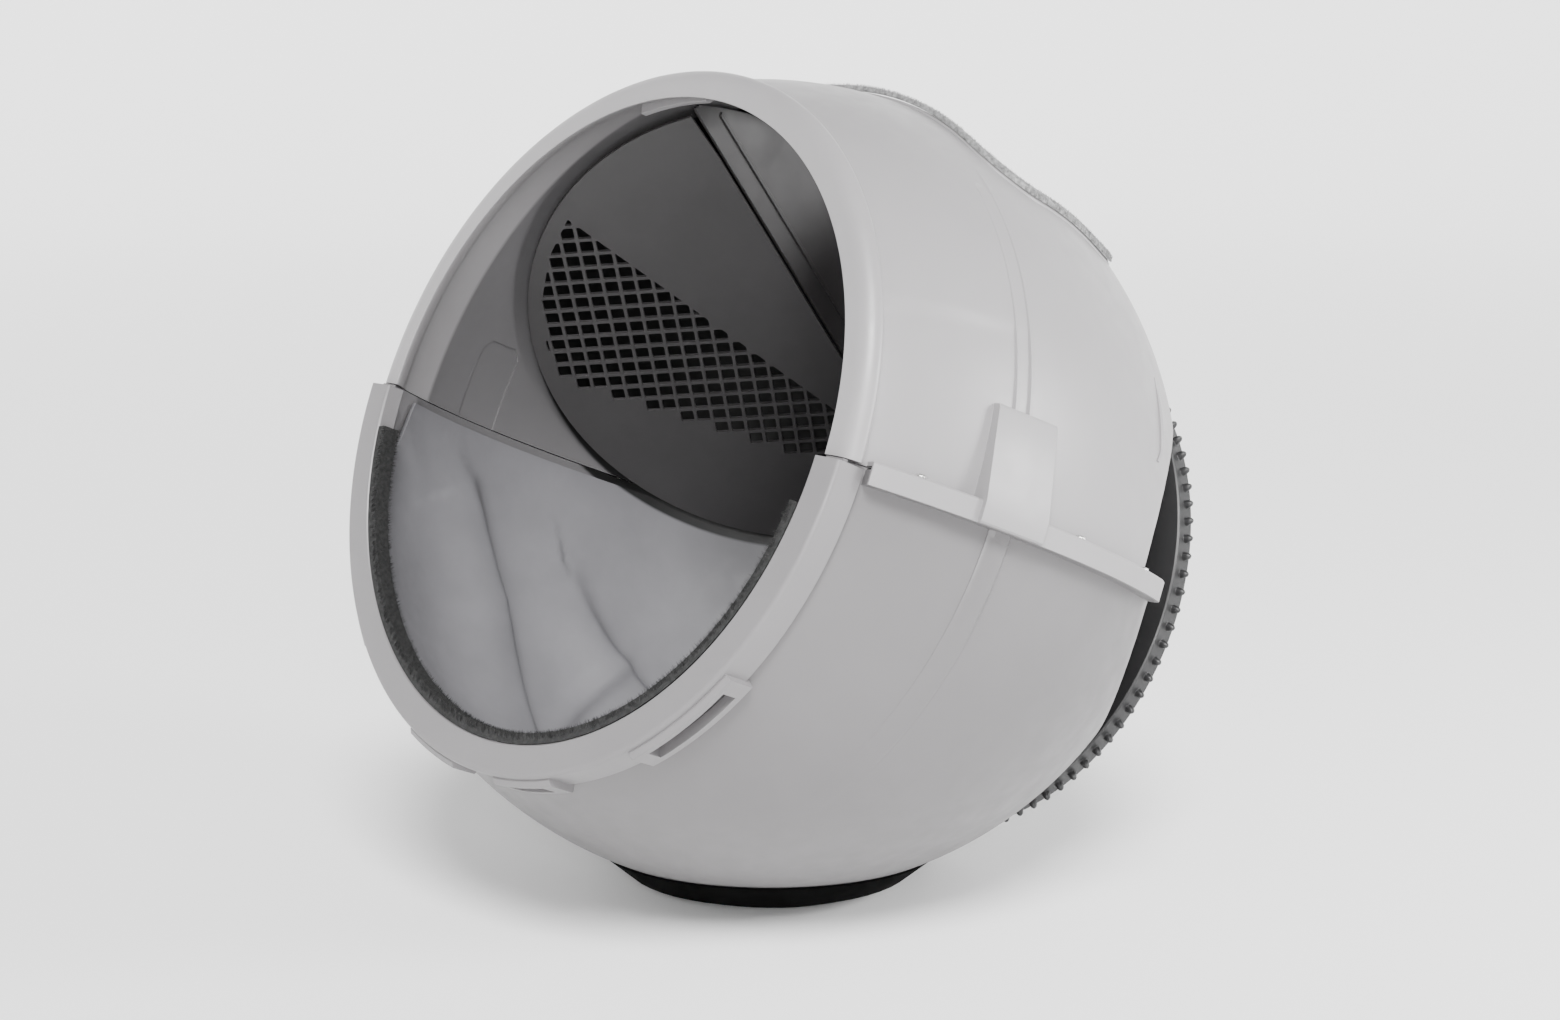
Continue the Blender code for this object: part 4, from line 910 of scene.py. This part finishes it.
def pan():
    rims = (PAN_RIM, [(y, 0.0) for y, _ in PAN_RIM])
    piece = shell("pan", "lower_shell", (-180.0, 0.0), rims, PAN_FLAT_INSET, -SEAM_GAP / 2,
                  HUB_BOSS_RADIUS * PAN_HUB_SHARE)
    reach = RAIL_REACH - SKIRT - RAIL_FIT
    top = -SEAM_GAP / 2 - RAIL_CLEARANCE
    profile = ((None, top), (reach, top), (reach, -RAIL_DROP), (None, -RAIL_DROP))
    apply_boolean(piece, both_sides(rail, profile, PAN_FLAT_INSET), "UNION")
    angles = spread(RIB_START_DEG, -RIB_END_DEG, steps=60)
    apply_boolean(piece, raised_strip(*RIB, angles, rib_reach, 0.0), "UNION")
    apply_boolean(piece, catches(), "UNION")
    apply_boolean(piece, rear_disc(), "UNION")
    skin_inside(piece, pan_inner_wall())


def bezel_radii():
    front = body_radius(0.0)
    outer = front + BEZEL_OUTER
    return outer, outer - BEZEL_WALL, front - BEZEL_INNER


def bezel_profile():
    """Section of the bezel: face with a rounded front corner, skirt over the pan, and inner lip."""
    outer, skirt, inner = bezel_radii()
    face_back = BEZEL_FRONT + BEZEL_WALL
    lip = inner + BEZEL_WALL * BEZEL_LIP_SHARE
    profile = [(inner, BEZEL_FRONT + BREAK), (inner + BREAK, BEZEL_FRONT)]
    for step in range(BEZEL_ROUND_STEPS + 1):
        angle = math.pi / 2 * step / BEZEL_ROUND_STEPS
        radius = outer - BEZEL_ROUND + BEZEL_ROUND * math.sin(angle)
        profile.append((radius, BEZEL_FRONT + BEZEL_ROUND - BEZEL_ROUND * math.cos(angle)))
    return profile + [(outer, BEZEL_BACK), (skirt, BEZEL_BACK), (skirt, face_back), (lip, face_back),
                      (lip, -BEZEL_FRONT), (inner, -BEZEL_FRONT)]


def strap_profile():
    """Section of the raised straps that hold the bezel's windows."""
    outer, skirt, _ = bezel_radii()
    front = BEZEL_FRONT + STRAP_START
    middle = outer - BEZEL_WALL / 2
    top = outer + STRAP_REACH
    return (
        (middle, front), (outer + STRAP_FOOT[1], front - STRAP_FOOT[0]), (top, front + STRAP_SLOPE),
        (top, STRAP_BACK - BREAK), (top - BREAK, STRAP_BACK),
        (skirt + BEZEL_WALL * STRAP_ROOT_SHARE, STRAP_BACK), (middle, BEZEL_BACK - BREAK),
    )


def bezel():
    outer, skirt, _ = bezel_radii()
    piece = make_piece("bezel", "entry_bezel", *arc_solid(bezel_profile(), *BEZEL_DEG, steps=180))
    low = skirt - WINDOW_CUT[0]
    high = outer + WINDOW_CUT[1]
    window = ((low, WINDOW[0]), (high, WINDOW[0]), (high, WINDOW[1]), (low, WINDOW[1]))
    straps = []
    windows = []
    for centre, half in STRAPS:
        reach = half - WINDOW_MARGIN_DEG
        straps.append(arc_solid(strap_profile(), centre - half, centre + half, steps=24))
        windows.append(arc_solid(window, centre - reach, centre + reach, steps=17))
    apply_boolean(piece, merged(straps), "UNION")
    apply_boolean(piece, merged(windows), "DIFFERENCE")


# ---- pile seals
def tuft(root, tip, width, side):
    """One fibre tuft: a thin three-sided spike."""
    axis = (tip - root).normalized()
    across = axis.cross(side).normalized() * width
    other = axis.cross(across).normalized() * width
    ring = [root + across, root - across * 0.5 + other, root - across * 0.5 - other]
    return ring + [tip], [(0, 1, 2), (0, 1, 3), (1, 2, 3), (2, 0, 3)]


def entry_seal():
    """Fuzzy strip on the bezel's inner lip, its fibres leaning into the opening."""
    _, _, inner = bezel_radii()
    top = inner - GAP
    low = top - SEAL_CORE_DEPTH
    narrow, wide = SEAL_CORE_HALF
    core = ((low, -narrow), (top, -wide), (top, wide), (low, narrow))
    pieces = [arc_solid(core, *SEAL_DEG, steps=160)]
    draw = random.Random(4)
    for _ in range(SEAL_TUFTS):
        degrees = SEAL_DEG[0] + (SEAL_DEG[1] - SEAL_DEG[0]) * draw.random()
        y = -SEAL_ROOT_SPREAD + 2 * SEAL_ROOT_SPREAD * draw.random()
        length = SEAL_LENGTH[0] + SEAL_LENGTH[1] * draw.random()
        root = polar(top - SEAL_ROOT_DEPTH, y * SEAL_ROOT_SHARE, degrees)
        reach = y * SEAL_FAN + draw.gauss(0, SEAL_BEND)
        tip_y = max(-SEAL_REACH, min(SEAL_REACH, reach))
        tip = polar(top - length, tip_y, degrees + draw.gauss(0, SEAL_BEND_DEG))
        pieces.append(tuft(root, tip, SEAL_TUFT_WIDTH, Vector((0, 1, 0.1))))
    make_piece("entry_pile", "entry_pile_seal", *merged(pieces))


def hood_height(x, y):
    radius = body_radius(y)
    return math.sqrt(max(0.0, radius * radius - x * x)) + SEAM_GAP / 2


def port_path(margin):
    """Closed line on the hood's surface, at a margin from the waste opening, in even small steps."""
    outline = port_outline(margin, corner_steps=24)
    fine = []
    for index, (x, y) in enumerate(outline):
        next_x, next_y = outline[(index + 1) % len(outline)]
        cuts = max(1, round(math.hypot(next_x - x, next_y - y) / PORT_PATH_STEP))
        for cut in range(cuts):
            share = cut / cuts
            fine.append((x + (next_x - x) * share, y + (next_y - y) * share))
    return fine


def port_ring(outside, inside, low, high):
    """Ring round the waste opening between two margins, from low to high over the hood's surface."""
    sections = []
    for (ox, oy), (ix, iy) in zip(port_path(outside), port_path(inside)):
        outer = hood_height(ox, oy)
        inner = hood_height(ix, iy)
        near = RING_ROUND
        far = 1 - RING_ROUND
        sections.append([
            Vector((ox, oy, outer + low)), Vector((ox, oy, outer + high - RING_EDGE)),
            Vector((ox + (ix - ox) * near, oy + (iy - oy) * near, outer + high)),
            Vector((ox + (ix - ox) * far, oy + (iy - oy) * far, inner + high)),
            Vector((ix, iy, inner + high - RING_EDGE)), Vector((ix, iy, inner + low)),
        ])
    return swept_solid(sections, closed=True)


def waste_port():
    """Collar in the waste opening, and the pile strip that stands on it."""
    collar = port_ring(-PORT_FIT, -PORT_FIT - COLLAR_WIDTH, -COLLAR_DEPTH, COLLAR_STAND)
    make_piece("port_collar", "waste_port_collar", *collar)
    edge = -PORT_FIT - (COLLAR_WIDTH - PORT_SEAL_WIDTH) / 2
    base = COLLAR_STAND + GAP
    top = base + PORT_SEAL_HEIGHT
    pieces = [port_ring(edge, edge - PORT_SEAL_WIDTH, base + GAP / 2, top - PORT_CORE_DEPTH)]
    draw = random.Random(9)
    path = port_path(edge - PORT_SEAL_WIDTH / 2)
    for _ in range(PORT_TUFTS):
        x, y = path[draw.randrange(len(path))]
        x += draw.uniform(-PORT_TUFT_SPREAD, PORT_TUFT_SPREAD)
        y += draw.uniform(-PORT_TUFT_SPREAD, PORT_TUFT_SPREAD)
        root = Vector((x, y, hood_height(x, y) + base + PORT_TUFT_ROOT))
        bend = (draw.gauss(0, PORT_TUFT_BEND), draw.gauss(0, PORT_TUFT_BEND))
        tip = root + Vector((*bend, PORT_SEAL_HEIGHT - PORT_TUFT_SHORT))
        pieces.append(tuft(root, tip, PORT_TUFT_WIDTH, Vector((1, 0.2, 0))))
    make_piece("port_pile", "waste_port_seal", *merged(pieces))


# ---- liner
def liner_row(degrees):
    """The liner's outside and inside at one angle: along the pan, then down its rear wall."""
    outer_inset = WALL + LINER_GAP
    front = LINER_FRONT + LINER_SETBACK * max(0.0, 1.0 - (degrees + 180.0) / LINER_SETBACK_DEG)
    outer = []
    inner = []
    for share in spread(0.0, 1.0, steps=150):
        y = front + (REAR_WALL - outer_inset - front) * math.sin(math.pi / 2 * share)
        place = skin_point(degrees, y, outer_inset, PAN_FLAT_INSET)
        lift = LINER_WALL + liner_relief(degrees, y)
        outer.append(place)
        inner.append(place - polar(lift, 0, degrees) - Vector((0, lift * share ** 6, 0)))
    for row in (outer, inner):
        edge = row[-1]
        row.extend(Vector((edge.x * share, edge.y, edge.z * share)) for share in LINER_REAR_SHARES)
    return outer, inner


def liner():
    rows = [liner_row(degrees) for degrees in spread(-180.0 + LINER_END_DEG, -LINER_END_DEG, steps=220)]
    points, faces = swept_skin([outer for outer, _ in rows], [inner for _, inner in rows])
    points = [point + Vector((0, 0, -LINER_DROP)) for point in points]
    # Painted black shadow on the liner where it meets the screen.
    paint_screen_shadow(FINISH["liner_rubber"])
    make_piece("soft_liner", "liner", points, faces, LINER_SHARP_DEG)


FOLDS = (  # path of (degrees, y), height, width in front of the crest and behind it
    (((-178, 0.065), (-170, 0.098), (-161, 0.114), (-151, 0.129), (-139, 0.136), (-129, 0.139),
      (-112, 0.130)), 0.0190, 0.046, 0.012),
    (((-160, 0.200), (-150, 0.218), (-139, 0.245), (-124, 0.262)), 0.0120, 0.034, 0.011),
    (((-146, 0.240), (-137, 0.200), (-129, 0.168), (-118, 0.150)), 0.0048, 0.010, 0.006),
    (((-60, 0.205), (-48, 0.180), (-36, 0.150), (-28, 0.105)), 0.0130, 0.040, 0.020),
    (((-100, 0.245), (-84, 0.225), (-66, 0.232)), 0.0110, 0.040, 0.018),
)
FOLD_ENDS = (0.12, 0.76)  # where on half a sine wave a fold starts, and how much of it the fold covers
RELIEF_EDGE_DEG = 14.0  # the relief fades out towards the liner's edges
RELIEF_EDGE = 0.045
WAVE_HEIGHT = 0.0030
WAVE_BASE = 0.6
RIPPLE_HEIGHT = 0.0004
WAVE = ((11.0, 13.0), 1.7)  # scale across and along the liner, and the layer of noise it is taken from
RIPPLE = ((38.0, 30.0), 5.1)


def fold_height(spot, fold):
    """Height of one fold at a spot of the unrolled liner: gentle in front of its crest, steep behind it."""
    path, height, front, back = fold
    best, side, along = None, 1.0, 0.0
    for index in range(len(path) - 1):
        start = Vector((math.radians(path[index][0]) * BODY_RADIUS, path[index][1]))
        step = Vector((math.radians(path[index + 1][0]) * BODY_RADIUS, path[index + 1][1])) - start
        share = max(0.0, min(1.0, (spot - start).dot(step) / step.length_squared))
        away = spot - start - step * share
        if best is None or away.length < best:
            best = away.length
            side = step.x * away.y - step.y * away.x
            along = (index + share) / (len(path) - 1)
    width = back if side > 0 else front
    return height * math.sin(math.pi * (FOLD_ENDS[0] + FOLD_ENDS[1] * along)) * math.exp(-(best / width) ** 2)


def noise_at(spot, scale, layer):
    return noise.noise(Vector((spot.x * scale[0], spot.y * scale[1], layer)))


def liner_relief(degrees, y):
    """How far the slack rubber stands off the pan: its folds and a broad unevenness, none at its edges."""
    edge = min(1.0, (degrees + 180.0 - LINER_END_DEG) / RELIEF_EDGE_DEG,
               (-LINER_END_DEG - degrees) / RELIEF_EDGE_DEG, (y - LINER_FRONT) / RELIEF_EDGE)
    spot = Vector((math.radians(degrees) * BODY_RADIUS, y))
    total = sum(fold_height(spot, fold) for fold in FOLDS)
    waves = WAVE_HEIGHT * (WAVE_BASE + noise_at(spot, *WAVE))
    return smooth_step(edge) * (total + waves + RIPPLE_HEIGHT * noise_at(spot, *RIPPLE))


# ---- ring gear
def gear_rim():
    """Web and rim of the gear, turned round the drum's axis."""
    outer = body_radius(REAR_WALL) + GEAR_OVERHANG
    inner = outer - GEAR_RIM_WALL
    front = REAR_WALL + GAP
    web_back = front + GEAR_WEB
    back = front + GEAR_WIDTH
    profile = (
        (GEAR_WEB_INNER, front), (outer - BREAK, front), (outer, front + BREAK), (outer, back - BREAK),
        (outer - BREAK, back), (inner + BREAK, back), (inner, back - BREAK), (inner, web_back + BREAK),
        (inner - BREAK, web_back), (GEAR_WEB_INNER, web_back),
    )
    angles = [360.0 * step / GEAR_STEPS for step in range(GEAR_STEPS)]
    sections = [[polar(radius, y, degrees) for radius, y in profile] for degrees in angles]
    return swept_solid(sections, closed=True)


def gear_tooth(degrees):
    """One peg tooth, standing outwards from the rim."""
    outer = body_radius(REAR_WALL) + GEAR_OVERHANG
    station = REAR_WALL + GAP + TOOTH_STATION
    out = polar(1.0, 0.0, degrees)
    side = Vector((-out.z, 0, out.x))
    rings = []
    for radius, height in TOOTH:
        ring = []
        for turn in range(TOOTH_SIDES):
            angle = 2 * math.pi * turn / TOOTH_SIDES
            ring.append(out * (outer + height) + side * (radius * math.cos(angle))
                        + Vector((0, station + radius * math.sin(angle), 0)))
        rings.append(ring)
    return swept_solid(rings)


def ring_gear():
    teeth = [gear_tooth(360.0 * step / GEAR_TEETH) for step in range(GEAR_TEETH)]
    make_piece("drive_ring", "ring_gear", *merged([gear_rim()] + teeth))


# ---- CAD nodes that keep their shape
def rebuilt(name):
    """Clean copy of a CAD node: welded, with its flat faces whole and its sharp edges slightly broken."""
    node = frame["nodes"][name]
    work = bmesh.new()
    work.from_mesh(node.data)
    work.transform(node.matrix_world)
    bmesh.ops.remove_doubles(work, verts=work.verts, dist=WELD)
    bmesh.ops.dissolve_limit(work, angle_limit=math.radians(FLAT_DEG), verts=work.verts, edges=work.edges)
    mesh = bpy.data.meshes.new(name + "_fine")
    work.to_mesh(mesh)
    work.free()
    mesh.materials.append(FINISH[SLOTS[name]])
    mesh.shade_smooth()
    mesh.set_sharp_from_angle(angle=math.radians(NODE_SHARP_DEG))
    piece = linked(name + "_fine", mesh)
    bevel = piece.modifiers.new("edge", "BEVEL")
    bevel.width = NODE_BEVEL
    bevel.segments = 2
    bevel.limit_method = "ANGLE"
    bevel.angle_limit = math.radians(NODE_SHARP_DEG)
    bevel.harden_normals = True
    stand_for(piece, name)


def wall_loops(work, normal):
    """Closed rings of points where side walls meet the screen's front face: its outline and its holes."""
    following = {}
    for face in work.faces:
        if abs(face.normal.dot(normal)) > SIDE_WALL:
            continue
        for loop in face.loops:
            if any(other.normal.dot(normal) > FRONT_FACE for other in loop.edge.link_faces):
                following[loop.vert] = loop.link_loop_next.vert
    rings = []
    while following:
        start, vert = following.popitem()
        ring = [start.co.copy()]
        while vert in following:
            ring.append(vert.co.copy())
            vert = following.pop(vert)
        rings.append(ring)
    return sorted(rings, key=len, reverse=True)


def rounded(ring, radius):
    """The same ring with each corner replaced by a short arc."""
    soft = []
    for index, corner in enumerate(ring):
        before = ring[index - 1] - corner
        after = ring[(index + 1) % len(ring)] - corner
        cut = min(radius, before.length * CORNER_SHARE, after.length * CORNER_SHARE)
        start = corner + before.normalized() * cut
        end = corner + after.normalized() * cut
        for share in spread(0.0, 1.0, 4):
            soft.append(start.lerp(corner, share).lerp(corner.lerp(end, share), share))
    return soft


def straight_corners(ring):
    """Drops points that lie on a straight run."""
    kept = []
    for index, point in enumerate(ring):
        before = point - ring[index - 1]
        after = ring[(index + 1) % len(ring)] - point
        if before.length > SHORT_EDGE and before.angle(after, 0.0) > math.radians(BEND_DEG):
            kept.append(point)
    return kept


def screen_rings():
    """The CAD screen's outline and holes as rings in the drum frame, the outline first, and its normal."""
    node = frame["nodes"]["sifting_screen"]
    work = bmesh.new()
    work.from_mesh(node.data)
    work.transform(DRUM.inverted() @ node.matrix_world)
    bmesh.ops.remove_doubles(work, verts=work.verts, dist=WELD)
    bmesh.ops.recalc_face_normals(work, faces=work.faces)
    normal = max(work.faces, key=lambda face: face.calc_area()).normal.copy()
    if normal.y > 0:
        normal = -normal
    rings = wall_loops(work, normal)
    work.free()
    return rings, normal


def sifting_screen():
    """Screen plate with the CAD node's outline, its diamond holes given moulded round corners."""
    rings, normal = screen_rings()
    back = -normal * SCREEN_THICKNESS
    outline = rings[0]
    plate = swept_solid([outline, [point + back for point in outline]])
    piece = make_piece("screen_plate", "sifting_screen", *plate, SCREEN_SHARP_DEG)
    cutters = []
    for ring in rings[1:]:
        hole = rounded(straight_corners(ring), HOLE_CORNER)
        cutters.append(swept_solid([[point - back for point in hole], [point + back * 2 for point in hole]]))
    apply_boolean(piece, merged(cutters), "DIFFERENCE")


def rebuild_rest():
    """Every CAD node that no piece above stands for."""
    for name in sorted(frame["nodes"]):
        if name not in REMODELLED:
            rebuilt(name)


# ---- stage, light and camera
def floor_profile():
    """Rows of (radius, height): flat, then a quarter circle up, then a wall."""
    profile = [(0.0, 0.0), (FLOOR_RADIUS, 0.0)]
    for step in range(1, FLOOR_STEPS + 1):
        angle = math.pi / 2 * step / FLOOR_STEPS
        radius = FLOOR_RADIUS + FLOOR_CURVE * math.sin(angle)
        profile.append((radius, FLOOR_CURVE - FLOOR_CURVE * math.cos(angle)))
    return profile + [(FLOOR_RADIUS + FLOOR_CURVE, FLOOR_TOP)]


def stage():
    """Pale studio floor that curves up into a distant wall all round."""
    rings = floor_profile()[1:]
    points = [Vector((0, 0, 0))]
    for radius, height in rings:
        for side in range(FLOOR_SIDES):
            angle = 2 * math.pi * side / FLOOR_SIDES
            points.append(Vector((radius * math.cos(angle), radius * math.sin(angle), height)))
    faces = []
    for side in range(FLOOR_SIDES):
        following = (side + 1) % FLOOR_SIDES
        faces.append((0, 1 + side, 1 + following))
        for ring in range(len(rings) - 1):
            here = 1 + ring * FLOOR_SIDES
            there = here + FLOOR_SIDES
            faces.append((here + side, there + side, there + following, here + following))
    mesh = bpy.data.meshes.new("floor")
    mesh.from_pydata([tuple(point) for point in points], [], faces)
    mesh.shade_smooth()
    made, _, shader = node_material("floor_white")
    shader.inputs["Base Color"].default_value = (0.94, 0.94, 0.94, 1.0)
    shader.inputs["Roughness"].default_value = 0.9
    mesh.materials.append(made)
    linked("floor", mesh)


def aimed(made, direction):
    """Turns a light or camera to look along a direction."""
    made.rotation_mode = "QUATERNION"
    made.rotation_quaternion = Vector(direction).to_track_quat("-Z", "Y")


def area_light(name, place, aim, size, power):
    data = bpy.data.lights.new(name, "AREA")
    data.shape = "DISK"
    data.size = size
    data.energy = power
    light = linked(name, data)
    light.location = place
    aimed(light, aim - place)


def box_middle():
    low, high = cad_box
    return (low + high) / 2


def lights():
    """Soft white surroundings, a broad key from the upper right, and two fill lights on the right."""
    world = bpy.data.worlds.new("studio")
    world.use_nodes = True
    background = world.node_tree.nodes["Background"]
    background.inputs["Color"].default_value = (1, 1, 1, 1)
    background.inputs["Strength"].default_value = 0.55
    bpy.context.scene.world = world
    key = bpy.data.lights.new("overhead", "SUN")
    key.energy = 5.8
    key.angle = math.radians(22.0)
    aimed(linked("overhead", key), (-0.60, 0.50, -0.88))
    middle = box_middle()
    entry = middle + Vector((-0.15, 0.0, -0.1))
    area_light("front", middle + Vector((1.6, -1.3, 0.35)), entry, size=0.4, power=26)
    area_light("side", middle + Vector((1.5, 0.9, 0.5)), middle, size=0.6, power=30)


def camera():
    """The photograph's viewpoint: azimuth, height and distance from the middle of the object."""
    data = bpy.data.cameras.new("camera")
    data.lens = CAMERA_LENS
    data.sensor_width = CAMERA_SENSOR
    made = linked("camera", data)
    azimuth = math.radians(CAMERA_AZIMUTH_DEG)
    elevation = math.radians(CAMERA_ELEVATION_DEG)
    back = Vector((math.sin(azimuth) * math.cos(elevation), -math.cos(azimuth) * math.cos(elevation),
                   math.sin(elevation)))
    made.location = box_middle() + Vector(CAMERA_AIM) + back * CAMERA_DISTANCE
    aimed(made, -back)
    bpy.context.scene.camera = made


hood()
pan()
bezel()
entry_seal()
waste_port()
liner()
ring_gear()
sifting_screen()
rebuild_rest()
stage()
lights()
camera()
